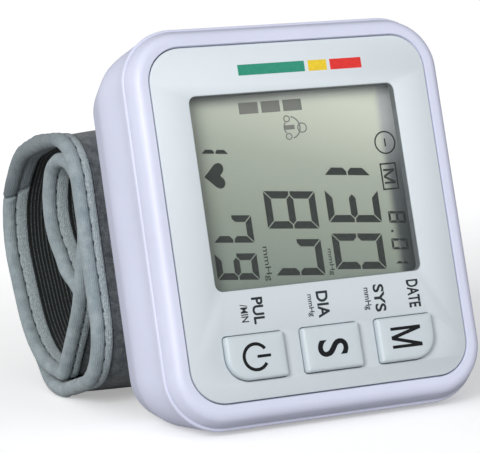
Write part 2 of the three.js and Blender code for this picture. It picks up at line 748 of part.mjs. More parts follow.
function hosePump() {
  const turn = TEE_X - HEAD_X1;
  const start = HEAD_X1 + GAP;
  const end = TEE_Y + TEE_HALF + GAP;
  const points = [
    [start, PUMP_Y, -PUMP_DEPTH],
    [start + turn / 3, PUMP_Y, -PUMP_DEPTH],
    [TEE_X - turn / 8, PUMP_Y - turn / 4, -PUMP_DEPTH],
    [TEE_X, end + BARB_L, -PUMP_DEPTH],
    [TEE_X, end, -PUMP_DEPTH],
  ];
  return tube(points, HOSE_R, HOSE_BORE, 12);
}

function hoseValve() {
  const [from, to] = [VALVE_TOP_Y + GAP, TEE_Y - TEE_HALF - GAP];
  return ringOf("y", HOSE_BORE, HOSE_R, from, to, HOSE_SIDES).translate(TEE_X, 0, -PUMP_DEPTH);
}

function hoseSensor() {
  const portEnd = BOARD_UNDER + GAP + SENSOR_H;
  const start = TEE_X - TEE_HALF - GAP;
  const points = [
    [start, TEE_Y, -PUMP_DEPTH],
    [start - BARB_L, TEE_Y, -PUMP_DEPTH],
    [SENSOR_X + 2, TEE_Y, -PUMP_DEPTH + 0.4],
    [SENSOR_X, TEE_Y, -portEnd - BARB_L],
    [SENSOR_X, TEE_Y, -portEnd - GAP],
  ];
  return tube(points, HOSE_R, HOSE_BORE, 14);
}

// Exhaust valve: a plunger in a square coil body, pushed by a spring
const VALVE_DEPTH = FLOOR_DEPTH - GAP - VALVE_SIZE / 2;
const VALVE_FOOT_Y = VALVE_TOP_Y - VALVE_L;

function valveBody() {
  const size = around(0, VALVE_SIZE);
  const lift = VALVE_DEPTH - PUMP_DEPTH;
  const block = box(size, [VALVE_FOOT_Y, VALVE_TOP_Y], size);
  const port = rod("y", BARB_R, VALVE_TOP_Y - 0.5, VALVE_TOP_Y + BARB_L).translate(0, 0, lift);
  const inlet = rod("y", AIR_BORE_R, VALVE_TOP_Y - 1.5, VALVE_TOP_Y + BARB_L + 1).translate(0, 0, lift);
  const bore = rod("y", VALVE_BORE_R, VALVE_FOOT_Y - 1, VALVE_FOOT_Y + VALVE_BORE_L);
  return cut(join(block, port), bore, inlet).translate(TEE_X, 0, -VALVE_DEPTH);
}

function valvePlunger() {
  const radius = VALVE_BORE_R - GAP;
  const profile = [
    [0, VALVE_FOOT_Y + GAP],
    [radius, VALVE_FOOT_Y + GAP],
    [radius, VALVE_FOOT_Y + VALVE_PLUNGER_L - 0.5],
    [radius - 0.5, VALVE_FOOT_Y + VALVE_PLUNGER_L],
    [0, VALVE_FOOT_Y + VALVE_PLUNGER_L],
  ];
  return turned("y", profile).translate(TEE_X, 0, -VALVE_DEPTH);
}

// A coil spring along z from 0, each turn with eight steps, and the least gap between its turns.
function coilSpring(radius, endRadius, length, wire) {
  const steps = 8 * SPRING_TURNS;
  const points = Array.from({ length: steps + 1 }, (_, k) => {
    const share = k / steps;
    const angle = 2 * Math.PI * SPRING_TURNS * share;
    const r = radius + (endRadius - radius) * share;
    return [r * Math.cos(angle), r * Math.sin(angle), wire + (length - 2 * wire) * share];
  });
  const gaps = points.slice(0, -8).map((p, k) => {
    const next = points[k + 8];
    return Math.hypot(p[0] - next[0], p[1] - next[1], p[2] - next[2]) - 2 * wire;
  });
  console.log("least gap between spring turns", Math.min(...gaps).toFixed(2), "mm");
  return tube(points, wire, 0, steps, 5);
}

function valveSpring() {
  const from = VALVE_FOOT_Y + VALVE_PLUNGER_L + GAP;
  const length = VALVE_BORE_L - VALVE_PLUNGER_L - 2 * GAP;
  const radius = VALVE_BORE_R - GAP - VALVE_WIRE_R;
  const spring = coilSpring(radius, radius, length, VALVE_WIRE_R);
  return spring.rotateX(-Math.PI / 2).translate(TEE_X, from, -VALVE_DEPTH);
}

// Batteries: the first cell points one way and the second the other.
const CELL_SIDES = [1, -1];

function batteryCell(k) {
  const side = CELL_SIDES[k];
  const tip = BAY_HALF_X - CONTACT_T - 2 * GAP;
  const shoulder = tip - CELL_NUB_L;
  const foot = shoulder - CELL_L;
  const profile = [
    [0, foot],
    [CELL_R - 0.5, foot],
    [CELL_R, foot + 0.5],
    [CELL_R, shoulder - 0.5],
    [CELL_R - 0.5, shoulder],
    [CELL_NUB_R, shoulder],
    [CELL_NUB_R, tip],
    [0, tip],
  ];
  const cell = turned("x", profile, ROUND_SIDES);
  if (side < 0) cell.rotateZ(Math.PI);
  return cell.translate(0, CELL_YS[k], -CELL_DEPTH);
}

function batteryContact(k) {
  const outer = CELL_SIDES[k] * (BAY_HALF_X - GAP);
  const inner = outer - CELL_SIDES[k] * CONTACT_T;
  const size = 1.6 * CELL_R;
  const x = [Math.min(inner, outer), Math.max(inner, outer)];
  return box(x, around(CELL_YS[k], size), around(-CELL_DEPTH, size));
}

function batterySpring(k) {
  const spring = coilSpring(CELL_R - 1.2, CELL_NUB_R, SPRING_L - GAP, SPRING_WIRE_R);
  spring.rotateY(Math.PI / 2);
  spring.translate(-BAY_HALF_X + GAP, 0, 0);
  if (CELL_SIDES[k] < 0) spring.rotateZ(Math.PI);
  return spring.translate(0, CELL_YS[k], -CELL_DEPTH);
}

function motorLead(side) {
  const y = PUMP_Y + side * 2;
  const radius = 0.5;
  const end = MOTOR_END - GAP;
  const bend = end - 1.2;
  const points = [
    [end, y, -PUMP_DEPTH],
    [bend, y, -PUMP_DEPTH + 1.4],
    [bend, y, -PUMP_DEPTH + 4],
    [bend + 0.4, y, -BOARD_UNDER - 2],
    [bend + 0.6, y, -BOARD_UNDER - GAP],
  ];
  return tube(points, radius, 0, 10, 6);
}

// Cuff: the strap is a belt laid round circles, always turning the same way, so that it rolls
// inwards: short end, front layer behind the housing, crest, back, fold, inner flap and curl.
const STRAP_HALF = CLOTH_GAP / 2 + CLOTH_T + CLOTH_GAP + TAPE_T;
const CLOTH_IN = CLOTH_GAP / 2;
const CLOTH_OUT = CLOTH_IN + CLOTH_T;
const PAD_DEPTH = FORMER_T + BLADDER_T + 2 * CLOTH_GAP;
const LAYER_PITCH = 2 * STRAP_HALF + LAP_GAP;
const RUN_PITCH = 2 * CLOTH_OUT + PAD_DEPTH + LAP_GAP;
const FRONT_Z = -SADDLE_DEPTH - SADDLE_T - GAP - CLOTH_OUT;
const GROUND =
  -(PANEL_Y / 2 + WAIST_OUT) * Math.cos(LEAN) - WAIST_DEPTH * Math.sin(LEAN);

// A heading's direction and the normal on its left, as [y, z].
function forward(heading) {
  const angle = THREE.MathUtils.degToRad(heading);
  return [Math.sin(angle), Math.cos(angle)];
}

function leftOf(heading) {
  const [y, z] = forward(heading);
  return [z, -y];
}

function onCircle(circle, heading) {
  const [y, z] = leftOf(heading);
  return [circle.y - circle.r * y, circle.z - circle.r * z];
}

// The circle that follows another after a straight stretch along a heading.
function circleAfter(circle, heading, straight, r) {
  const [y, z] = onCircle(circle, heading);
  const [dy, dz] = forward(heading);
  const [ny, nz] = leftOf(heading);
  return { y: y + straight * dy + r * ny, z: z + straight * dz + r * nz, r };
}

function strapCircles() {
  const foldZ = FRONT_Z - FOLD_DEPTH;
  const heelR = FOLD_R + LAYER_PITCH;
  const foldY = (GROUND + heelR + STRAP_HALF - foldZ * Math.sin(LEAN)) / Math.cos(LEAN);
  const heel = { y: foldY, z: foldZ, r: heelR };
  const low = { y: -LOOP_LOW + STRAP_HALF + LOW_R, z: FRONT_Z - LOW_R, r: LOW_R };
  const top = { y: LOOP_TOP - STRAP_HALF - TOP_R, z: FRONT_Z - TOP_R, r: TOP_R };
  const backZ = FRONT_Z + 2 * STRAP_HALF - LOOP_DEPTH;
  const crest = { y: CREST_UP, z: backZ + CREST_R, r: CREST_R };
  const back = circleAfter(crest, BACK_HEADING, BACK_STRAIGHT, BACK_R_LOOP);
  const fold = { y: foldY, z: foldZ, r: FOLD_R };
  const [startY, startZ] = onCircle(fold, FLAP_HEADING);
  const flapZ = FRONT_Z - RUN_PITCH - FLAP_R;
  const [rise, ahead] = forward(FLAP_HEADING);
  const flap = { y: startY + (FLAP_R + (flapZ - startZ) * rise) / ahead, z: flapZ, r: FLAP_R };
  const turn = { y: top.y, z: top.z, r: TOP_R - RUN_PITCH };
  const curl = circleAfter(turn, CURL_HEADING, CURL_STRAIGHT, CURL_R);
  return [heel, low, top, crest, back, fold, flap, turn, curl];
}

// Heading of the straight stretch that leaves one circle and meets the next.
function headingBetween(a, b) {
  const distance = Math.hypot(b.y - a.y, b.z - a.z);
  const angle = Math.atan2(b.y - a.y, b.z - a.z) + Math.asin((a.r - b.r) / distance);
  return THREE.MathUtils.radToDeg(angle);
}

function strapPath(circles) {
  const headings = [TIP_HEADING];
  for (let k = 0; k + 1 < circles.length; k++) headings.push(headingBetween(circles[k], circles[k + 1]));
  headings.push(TAIL_HEADING);
  for (let k = 1; k < headings.length; k++) {
    while (headings[k] < headings[k - 1]) headings[k] += 360;
  }
  const points = [];
  const ends = [];
  let length = 0;
  const put = (y, z, heading) => {
    const last = points.at(-1);
    if (last) length += Math.hypot(y - last.y, z - last.z);
    const [ny, nz] = leftOf(heading).map((v) => -v);
    points.push({ y, z, ny, nz, s: length });
  };
  circles.forEach((circle, k) => {
    const sweep = headings[k + 1] - headings[k];
    const steps = Math.max(1, Math.ceil(sweep / ARC_STEP));
    for (let i = 0; i <= steps; i++) {
      const heading = headings[k] + (sweep * i) / steps;
      put(...onCircle(circle, heading), heading);
    }
    ends.push(length);
  });
  const last = points.at(-1);
  const [dy, dz] = forward(TAIL_HEADING);
  put(last.y + TAIL_L * dy, last.z + TAIL_L * dz, TAIL_HEADING);
  return { points, ends, length };
}

// The stretch of the path between two distances along it.
function stretch(path, from, to) {
  const at = (s) => {
    const k = Math.max(1, path.points.findIndex((p) => p.s >= s));
    const [a, b] = [path.points[k - 1], path.points[k]];
    const share = b.s > a.s ? (s - a.s) / (b.s - a.s) : 0;
    const mix = (key) => a[key] + (b[key] - a[key]) * share;
    return { y: mix("y"), z: mix("z"), ny: mix("ny"), nz: mix("nz"), s };
  };
  const margin = 0.05;
  const inner = path.points.filter((p, k, all) => {
    const apart = k === 0 || p.s - all[k - 1].s > margin;
    return apart && p.s > from + margin && p.s < to - margin;
  });
  return [at(from), ...inner, at(to)];
}

// A closed strip along a stretch, with a cross-section of [x, offset] points at each distance.
function strip(points, sectionAt) {
  const sections = points.map((p) => sectionAt(p.s));
  const count = sections[0].length;
  const vertices = points.flatMap((p, k) =>
    sections[k].map(([x, offset]) => [x, p.y + offset * p.ny, p.z + offset * p.nz]),
  );
  const triangles = [];
  for (let k = 0; k + 1 < points.length; k++) {
    for (let i = 0; i < count; i++) {
      const next = (i + 1) % count;
      const [a, b] = [k * count + i, k * count + next];
      triangles.push([a, b, b + count], [a, b + count, a + count]);
    }
  }
  const cap = (section) =>
    THREE.ShapeUtils.triangulateShape(section.map(([x, o]) => new THREE.Vector2(x, o)), []);
  const last = (points.length - 1) * count;
  const turnedBack = THREE.ShapeUtils.area(sections[0].map(([x, o]) => new THREE.Vector2(x, o))) < 0;
  for (const [a, b, c] of cap(sections[0])) triangles.push(turnedBack ? [a, b, c] : [a, c, b]);
  for (const [a, b, c] of cap(sections.at(-1))) {
    triangles.push(turnedBack ? [last + a, last + c, last + b] : [last + a, last + b, last + c]);
  }
  return closedBody(vertices, triangles);
}

const STRAP = strapPath(strapCircles());
const HINGE_S = STRAP.ends[2];
const FRONT_S0 = STRAP.ends[1];
const PAD_S0 = FRONT_S0 - LOW_R;
const PAD_S1 = HINGE_S - TOP_R / 2;
const BASE = stretch(STRAP, 0, HINGE_S - GAP / 2);
const FREE = stretch(STRAP, HINGE_S + GAP / 2, STRAP.length);
const CLOTH_X = CUFF_X / 2 - TAPE_T - CLOTH_GAP;

function flatSection(half, from, to) {
  return () => [[-half, from], [half, from], [half, to], [-half, to]];
}

// Depth of the padding at a distance along the strap.
function padAt(s) {
  const rise = Math.min((s - PAD_S0) / PAD_RAMP, (PAD_S1 - s) / PAD_RAMP);
  return PAD_DEPTH * Math.min(Math.max(rise, 0), 1);
}

function padSection(s) {
  const depth = padAt(s);
  const flat = FORMER_X / 2 + GAP;
  const edge = flat + PAD_RAMP;
  const upper = [[-CLOTH_X, 0], [-edge, 0], [-flat, depth], [flat, depth], [edge, 0], [CLOTH_X, 0]];
  const lower = upper.map(([x, d]) => [x, -CLOTH_IN - CLOTH_T - d]).reverse();
  return [...upper.map(([x, d]) => [x, -CLOTH_IN - d]), ...lower];
}

// The padded stretch gets extra steps at its ends so that the lining ramps evenly.
function withStops(points, stops) {
  return stops.reduce((list, s) => {
    if (list.some((p) => Math.abs(p.s - s) < 0.3)) return list;
    return [...list, stretch(STRAP, s, s)[0]].sort((a, b) => a.s - b.s);
  }, points);
}

function tapeSection(side) {
  const edge = CUFF_X / 2;
  const inner = STRAP_HALF - TAPE_T;
  const points = [
    [edge - TAPE_W, STRAP_HALF],
    [edge, STRAP_HALF],
    [edge, -STRAP_HALF],
    [edge - TAPE_W, -STRAP_HALF],
    [edge - TAPE_W, -inner],
    [edge - TAPE_T, -inner],
    [edge - TAPE_T, inner],
    [edge - TAPE_W, inner],
  ];
  return () => points.map(([x, offset]) => [side * x, offset]);
}

// Tape folded over an end of the strap, between the two edge tapes.
function tipTape(path, end, direction) {
  const along = path.filter((p) => Math.abs(p.s - end) <= TAPE_W);
  const ordered = direction > 0 ? along : [...along].reverse();
  const nose = ordered[0];
  const [dy, dz] = [-nose.nz * direction, nose.ny * direction];
  const place = (p, offset, ahead) => [
    p.y + offset * p.ny + ahead * dy,
    p.z + offset * p.nz + ahead * dz,
  ];
  const inner = STRAP_HALF - TAPE_T;
  const reach = CLOTH_GAP + TAPE_T;
  const points = [
    ...[...ordered].reverse().map((p) => place(p, STRAP_HALF, 0)),
    place(nose, STRAP_HALF, reach),
    place(nose, -STRAP_HALF, reach),
    ...ordered.map((p) => place(p, -STRAP_HALF, 0)),
    ...[...ordered].reverse().map((p) => place(p, -inner, 0)),
    place(nose, -inner, CLOTH_GAP),
    place(nose, inner, CLOTH_GAP),
    ...ordered.map((p) => place(p, inner, 0)),
  ];
  const half = CUFF_X / 2 - TAPE_W - GAP;
  const shape = new THREE.Shape(points.map(([y, z]) => new THREE.Vector2(y, z)));
  const geometry = new THREE.ExtrudeGeometry(shape, { depth: 2 * half, bevelEnabled: false });
  // The shape's plane holds y and z, and its depth runs along x.
  const turn = new THREE.Matrix4().set(0, 0, 1, -half, 1, 0, 0, 0, 0, 1, 0, 0, 0, 0, 0, 1);
  return geometry.applyMatrix4(turn);
}

function cuffSaddle() {
  const corner = [SADDLE_CORNER, SADDLE_CORNER, SADDLE_CORNER, SADDLE_CORNER];
  const edge = (grow, z) =>
    level(around(0, SADDLE_X + 2 * grow), [SADDLE_LOW_Y - grow, SADDLE_TOP_Y + grow], corner, z);
  const pad = loft([
    edge(0, -SADDLE_DEPTH),
    edge(0, -SADDLE_DEPTH - SADDLE_T / 2),
    edge(-1, -SADDLE_DEPTH - SADDLE_T),
  ]);
  const pegs = PEGS.map(([x, y]) =>
    rod("z", PEG_R, -SADDLE_DEPTH - 0.5, -SADDLE_DEPTH + PEG_L).translate(x, y, 0),
  );
  return cut(join(pad, ...pegs), nippleHole());
}

function cuffNipple() {
  const top = -PUMP_DEPTH - TEE_HALF - BARB_L - GAP;
  const bottom = FRONT_Z - CLOTH_IN - CLOTH_GAP - FORMER_T;
  const seat = -FLOOR_DEPTH + GAP;
  const profile = [
    [AIR_BORE_R, bottom],
    [NIPPLE_R, bottom],
    [NIPPLE_R, seat],
    [NIPPLE_R + 1, seat],
    [NIPPLE_R + 1, Math.min(seat + 0.8, top)],
    [BARB_R, Math.min(seat + 0.8, top)],
    [BARB_R, top],
    [AIR_BORE_R, top],
    [AIR_BORE_R, bottom],
  ];
  return turned("z", profile).translate(TEE_X, TEE_Y, 0);
}

// Assembly

add("front_bezel", frontBezel(), SHELL_COLOUR, 0.38);
add("rear_shell", rearShell(), SHELL_COLOUR, 0.38);
add("face_panel", facePanel(), PANEL_COLOUR, 0.3);
add("battery_door", batteryDoor(), SHELL_COLOUR, 0.38);
SCREW_PLACES.forEach((x, k) => add(`housing_screw_${k + 1}`, housingScrew(x), 0x9a9da3, 0.35, 0.9));

add("display_lens", displayLens(), 0xe8eef0, 0.08);
add("lcd_glass", lcdGlass(), 0xb4bcae, 0.2);
add("lcd_reflector", lcdReflector(), 0xc3c9bd, 0.5);
add("lcd_frame", lcdFrame(), 0xc9ccd2, 0.6);
add("zebra_connector", zebraConnector(), 0xd58d9b, 0.8);

for (const key of KEYS) {
  add(`key_${key.name}`, keyCap(key), 0xe6eaf0, 0.45);
  add(`switch_${key.name}`, switchBody(key), 0x2a2b2e, 0.5);
  add(`plunger_${key.name}`, switchPlunger(key), 0x1e1f22, 0.5);
}

add("main_board", mainBoard(), 0x2f6b45, 0.5);
add("microcontroller", chip(), 0x1d1e20, 0.6);
add("buzzer", buzzer(), 0x222326, 0.5);
add("pressure_sensor", pressureSensor(), 0xe2e0d6, 0.4);

add("pump_motor", pumpMotor(), 0xb9bcc1, 0.3, 0.9);
add("pump_head", pumpHead(), 0x3a3d42, 0.5);
add("pump_cam", pumpCam(), 0xd9d6cc, 0.4);
add("pump_diaphragm", pumpDiaphragm(), 0x26272a, 0.9);
add("air_tee", airTee(), 0xe9e7df, 0.4);
add("hose_pump", hosePump(), 0xdcdcd6, 0.6);
add("hose_valve", hoseValve(), 0xdcdcd6, 0.6);
add("hose_sensor", hoseSensor(), 0xdcdcd6, 0.6);
add("valve_body", valveBody(), 0x4a4d52, 0.45);
add("valve_plunger", valvePlunger(), 0xc0c2c6, 0.3, 0.9);
add("valve_spring", valveSpring(), 0xc8cace, 0.3, 1);
add("cuff_nipple", cuffNipple(), 0xe9e7df, 0.4);

CELL_SIDES.forEach((_, k) => {
  add(`battery_cell_${k + 1}`, batteryCell(k), 0x3d4a6b, 0.35, 0.4);
  add(`battery_contact_${k + 1}`, batteryContact(k), 0xd0d2d6, 0.25, 1);
  add(`battery_spring_${k + 1}`, batterySpring(k), 0xd0d2d6, 0.25, 1);
});
add("motor_lead_1", motorLead(1), 0xa63a34, 0.6);
add("motor_lead_2", motorLead(-1), 0x26272a, 0.6);

const PADDED_STOPS = [PAD_S0, PAD_S0 + PAD_RAMP, PAD_S1 - PAD_RAMP, PAD_S1];
const PADDED = stretch(STRAP, PAD_S0 + 2 * PAD_RAMP, PAD_S1 - 2 * PAD_RAMP);
const FORMER_TOP = -CLOTH_IN;
const FORMER_LOW = FORMER_TOP - FORMER_T;
const BLADDER_LOW = FORMER_LOW - CLOTH_GAP - BLADDER_T;

add("cuff_saddle", cuffSaddle(), 0xc9cdd8, 0.5);
add(
  "cuff_outer_cloth",
  cut(strip(BASE, flatSection(CLOTH_X, CLOTH_IN, CLOTH_OUT)), nippleHole()),
  0x585f64,
  0.95,
);
add("cuff_lining", strip(withStops(BASE, PADDED_STOPS), padSection), 0x202123, 0.95);
const FORMER = strip(PADDED, flatSection(FORMER_X / 2, FORMER_LOW, FORMER_TOP));
add("cuff_former", cut(FORMER, nippleHole()), 0xb7bcc4, 0.5);
const BLADDER = flatSection(BLADDER_X / 2, BLADDER_LOW, FORMER_LOW - CLOTH_GAP);
add("air_bladder", strip(PADDED, BLADDER), 0x6e7479, 0.8);
add("cuff_binding_near", strip(BASE, tapeSection(-1)), 0x9ba5aa, 0.85);
add("cuff_binding_far", strip(BASE, tapeSection(1)), 0x9ba5aa, 0.85);
add("cuff_tip_tape", tipTape(BASE, 0, 1), 0x9ba5aa, 0.85);

add("strap_outer_cloth", strip(FREE, flatSection(CLOTH_X, CLOTH_IN, CLOTH_OUT)), 0x585f64, 0.95);
add("strap_lining", strip(FREE, flatSection(CLOTH_X, -CLOTH_OUT, -CLOTH_IN)), 0x202123, 0.95);
add("strap_binding_near", strip(FREE, tapeSection(-1)), 0x9ba5aa, 0.85);
add("strap_binding_far", strip(FREE, tapeSection(1)), 0x9ba5aa, 0.85);
const TAIL = stretch(STRAP, STRAP.length - TAPE_W, STRAP.length);
add("strap_tip_tape", tipTape(TAIL, STRAP.length, -1), 0x9ba5aa, 0.85);
const HOOK_END = STRAP.length - TAPE_W - CLOTH_GAP;
const HOOK_STRETCH = stretch(STRAP, HOOK_END - HOOK_TAPE_L, HOOK_END);
const HOOK_FACE = -CLOTH_OUT - CLOTH_GAP;
add(
  "hook_tape",
  strip(HOOK_STRETCH, flatSection(HOOK_TAPE_X / 2, HOOK_FACE - HOOK_TAPE_T, HOOK_FACE)),
  0x3a3d41,
  0.95,
);

// Lean the device back and set it on the ground, centred over the origin.
device.rotation.x = Math.PI / 2 - LEAN;
part.updateMatrixWorld(true);
const extent = new THREE.Box3().setFromObject(part, true);
const middle = extent.getCenter(new THREE.Vector3());
device.position.set(-middle.x, -middle.y, -extent.min.z);

export default part;
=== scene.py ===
"""Wrist blood pressure monitor: the looks of the housing, the display, the keys and the rolled cuff.

Lengths below are in millimetres in the device frame: x along the wrist, y up the face and z out of the face,
with its origin at the centre of the face panel's front. Each mesh is set in the row frame, in metres.
"""

import math

import bmesh
import bpy
import numpy as np
from mathutils import Matrix, Vector
from mathutils.geometry import tessellate_polygon


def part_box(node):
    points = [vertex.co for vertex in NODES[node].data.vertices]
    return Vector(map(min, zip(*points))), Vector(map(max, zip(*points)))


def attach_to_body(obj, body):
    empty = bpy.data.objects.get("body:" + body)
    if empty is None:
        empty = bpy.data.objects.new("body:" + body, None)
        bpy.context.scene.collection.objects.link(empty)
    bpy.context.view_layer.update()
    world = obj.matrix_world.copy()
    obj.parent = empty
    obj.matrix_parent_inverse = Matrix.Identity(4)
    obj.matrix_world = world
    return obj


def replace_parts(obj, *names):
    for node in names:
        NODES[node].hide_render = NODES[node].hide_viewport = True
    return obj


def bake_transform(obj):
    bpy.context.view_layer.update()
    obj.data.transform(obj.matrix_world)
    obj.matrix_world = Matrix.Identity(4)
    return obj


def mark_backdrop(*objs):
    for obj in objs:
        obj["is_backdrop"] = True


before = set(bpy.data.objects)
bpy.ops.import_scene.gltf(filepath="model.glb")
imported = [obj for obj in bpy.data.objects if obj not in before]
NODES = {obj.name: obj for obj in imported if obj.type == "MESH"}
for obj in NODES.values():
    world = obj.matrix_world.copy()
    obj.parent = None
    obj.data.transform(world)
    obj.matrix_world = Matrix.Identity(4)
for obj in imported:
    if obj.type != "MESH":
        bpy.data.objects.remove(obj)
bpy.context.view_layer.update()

# Sizes of the solids that the looks are built round
LEAN = math.radians(14)
GAP = 0.3
PANEL_X, PANEL_Y, PANEL_CORNER, PANEL_T = 58.8, 68.0, 6.8, 1.6
FINE_GAP = 0.22
BEZEL_SPREAD, BEZEL_DEPTH, BEZEL_EDGE_R, BEZEL_RISE = 3.96, 3.4, 1.8, 0.15
BEZEL_RAKE = math.radians(70)
BEZEL_WALL = 1.6
DECK_TOP, DECK_BOTTOM = 1.9, 3.2
RIM_OUT, RIM_R, RIM_INSIDE, RIM_SIDE = 4.5, 0.5, 2.3, -0.35
FRONT_DROP = 0.55
WAIST_OUT, WAIST_DEPTH, SIDE_FULLNESS = 3.15, 16.0, 1.85
HOUSING_DEPTH, BACK_R, WALL = 28.0, 4.0, 2.0
WINDOW_X, WINDOW_Y, WINDOW_UP, WINDOW_CORNER = 44.0, 37.6, 5.7, 1.5
LENS_LAP, GLASS_TOP = 1.6, 3.8
KEY_X, KEY_Y, KEY_PITCH, KEY_ROW = 12.2, 8.6, 16.0, -26.0
KEY_CORNER, KEY_OUTER_CORNER, KEY_RISE, KEY_FLANGE, KEY_GAP = 0.6, 4.6, 1.3, 1.0, 0.16
KEY_STEM_R, KEY_STEM_END = 2.0, -5.0
KEYS = {"power": -KEY_PITCH, "set": 0.0, "memory": KEY_PITCH}
CUFF_X, CLOTH_T, TAPE_T, TAPE_W, CLOTH_GAP = 72.0, 0.7, 0.5, 4.2, 0.2
STRAP_HALF = CLOTH_GAP / 2 + CLOTH_T + CLOTH_GAP + TAPE_T
CLOTH_OUT = CLOTH_GAP / 2 + CLOTH_T
PAD_DEPTH = 2.0
CORNER_STEPS = 14
CLOTH_X = CUFF_X / 2 - TAPE_T - CLOTH_GAP
RIB_COUNT, RIB_DEPTH = 90, 0.2
RIB_PITCH = 2 * CLOTH_X / RIB_COUNT

# The device leans back on the ground, and a point's place in the row frame follows from the face panel's
TURN = Matrix.Rotation(math.pi / 2 - LEAN, 3, "X")
panel_low, panel_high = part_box("face_panel")
FACE_CENTRE = (panel_low + panel_high) / 2 + TURN @ Vector((0, 0, PANEL_T / 2000))
PLACE = Matrix.Translation(FACE_CENTRE) @ TURN.to_4x4() @ Matrix.Scale(0.001, 4)


def in_row(point):
    return PLACE @ Vector(point)


def s_curve(share):
    """A share from 0 to 1 with a smooth start and end."""
    return share * share * (3 - 2 * share)


# Materials


def srgb(red, green, blue):
    """A colour read as screen values from 0 to 255, as linear light."""
    out = []
    for value in (red, green, blue):
        v = value / 255
        out.append(v / 12.92 if v <= 0.04045 else ((v + 0.055) / 1.055) ** 2.4)
    return (*out, 1.0)


def shades(*stops):
    """Stops of a colour ramp, each a position and a colour in screen values."""
    return [(at, srgb(*tone)) for at, *tone in stops]


def scaled(colour, factor, lift=0.0):
    """A lighter or darker form of a colour."""
    return tuple(min(1.0, c * factor + lift) for c in colour[:3]) + (1.0,)


def add_node(tree, kind, inputs=None, **settings):
    """A new node with its settings, and its inputs linked or set."""
    node = tree.nodes.new(kind)
    for key, value in settings.items():
        setattr(node, key, value)
    for key, value in (inputs or {}).items():
        if isinstance(value, bpy.types.NodeSocket):
            tree.links.new(value, node.inputs[key])
        else:
            node.inputs[key].default_value = value
    return node


class Finish:
    """A material in the making: its nodes and the shader that they feed."""

    def __init__(self, name, roughness=0.5, **sockets):
        self.material = bpy.data.materials.new(name)
        self.material.use_nodes = True
        self.tree = self.material.node_tree
        self.shader = self.tree.nodes["Principled BSDF"]
        self.set("Roughness", roughness)
        for socket, value in sockets.items():
            self.set(socket.replace("_", " "), value)

    def set(self, socket, value):
        self.shader.inputs[socket].default_value = value

    def node(self, kind, inputs=None, **settings):
        return add_node(self.tree, kind, inputs, **settings)

    def feed(self, socket, output):
        self.tree.links.new(output, self.shader.inputs[socket])

    def place(self, source="Object", scale=(1, 1, 1)):
        coords = self.node("ShaderNodeTexCoord").outputs[source]
        return self.node("ShaderNodeMapping", {"Vector": coords, "Scale": scale}).outputs["Vector"]

    def on_device(self):
        """Outputs x, y and z in millimetres of the device frame."""
        coords = self.node("ShaderNodeTexCoord").outputs["Object"]
        start, turn = -1000 * (TURN.inverted() @ FACE_CENTRE), (LEAN - math.pi / 2, 0, 0)
        inputs = {"Vector": coords, "Scale": (1000, 1000, 1000), "Rotation": turn, "Location": start}
        spot = self.node("ShaderNodeMapping", inputs).outputs["Vector"]
        return self.node("ShaderNodeSeparateXYZ", {"Vector": spot}).outputs

    def share(self, value, start, end):
        """0 at the start, 1 at the end and smooth between them."""
        inputs = {"Value": value, "From Min": start, "From Max": end}
        return self.node("ShaderNodeMapRange", inputs, interpolation_type="SMOOTHSTEP").outputs["Result"]

    def stripe(self, value, start, full, fade, end):
        """1 between two inner values, fading to 0 at two outer ones."""
        return self.combine("MULTIPLY", self.share(value, start, full), self.share(value, end, fade))

    def noise(self, where, scale, detail=3.0, roughness=0.55):
        inputs = {"Vector": where, "Scale": scale, "Detail": detail, "Roughness": roughness}
        return self.node("ShaderNodeTexNoise", inputs).outputs["Fac"]

    def bands(self, where, scale, direction="X", distortion=0.0):
        inputs = {"Vector": where, "Scale": scale, "Distortion": distortion}
        return self.node("ShaderNodeTexWave", inputs, bands_direction=direction).outputs["Fac"]

    def ramp(self, value, stops):
        node = self.node("ShaderNodeValToRGB", {"Fac": value})
        elements = node.color_ramp.elements
        while len(elements) < len(stops):
            elements.new(0.5)
        for element, (position, colour) in zip(elements, stops):
            element.position = position
            element.color = colour
        return node.outputs["Color"]

    def blend_colours(self, share, first, second):
        return self.node("ShaderNodeMix", {0: share, 6: first, 7: second}, data_type="RGBA").outputs[2]

    def tint(self, colour, where, strength, tone):
        """A colour with part of another laid over it."""
        return self.blend_colours(self.combine("MULTIPLY", where, strength), colour, tone)

    def between(self, value, low, high):
        inputs = {"Value": value, "To Min": low, "To Max": high}
        return self.node("ShaderNodeMapRange", inputs).outputs["Result"]

    def combine(self, operation, first, second):
        return self.node("ShaderNodeMath", {0: first, 1: second}, operation=operation).outputs[0]

    def relief(self, height, distance, strength=1.0):
        inputs = {"Height": height, "Distance": distance, "Strength": strength}
        self.feed("Normal", self.node("ShaderNodeBump", inputs).outputs["Normal"])


def moulded(name, colour, roughness, grain=2600.0, depth=0.00001, shade=0.06, painted_foot_shade=0.0):
    """Moulded plastic: a faint cloudiness in the colour, painted shade that makes it a little greyer towards the
    foot of the device, and a fine spark-eroded grain."""
    finish = Finish(name, roughness)
    where = finish.place()
    cloud = finish.noise(where, 60.0)
    tone = finish.ramp(cloud, [(0.3, scaled(colour, 1 - shade)), (0.7, colour)])
    if painted_foot_shade:
        # Painted shade: the colour greys towards the foot of the device.
        foot = finish.share(finish.on_device()[1], 26.0, -30.0)
        tone = finish.blend_colours(foot, tone, scaled(colour, 1 - painted_foot_shade))
    finish.feed("Base Color", tone)
    fine = finish.noise(where, grain, 2.0)
    finish.feed("Roughness", finish.between(fine, roughness - 0.05, roughness + 0.07))
    finish.relief(fine, depth, 0.5)
    return finish.material


def printed(name, colour, roughness=0.55):
    """Screen print: a solid ink with a slightly uneven film."""
    finish = Finish(name, roughness, Specular_IOR_Level=0.2)
    film = finish.noise(finish.place(), 1400.0, 2.0)
    finish.feed("Base Color", finish.ramp(film, [(0.35, colour), (0.75, scaled(colour, 1.15, 0.004))]))
    finish.feed("Roughness", finish.between(film, roughness - 0.08, roughness + 0.08))
    return finish.material


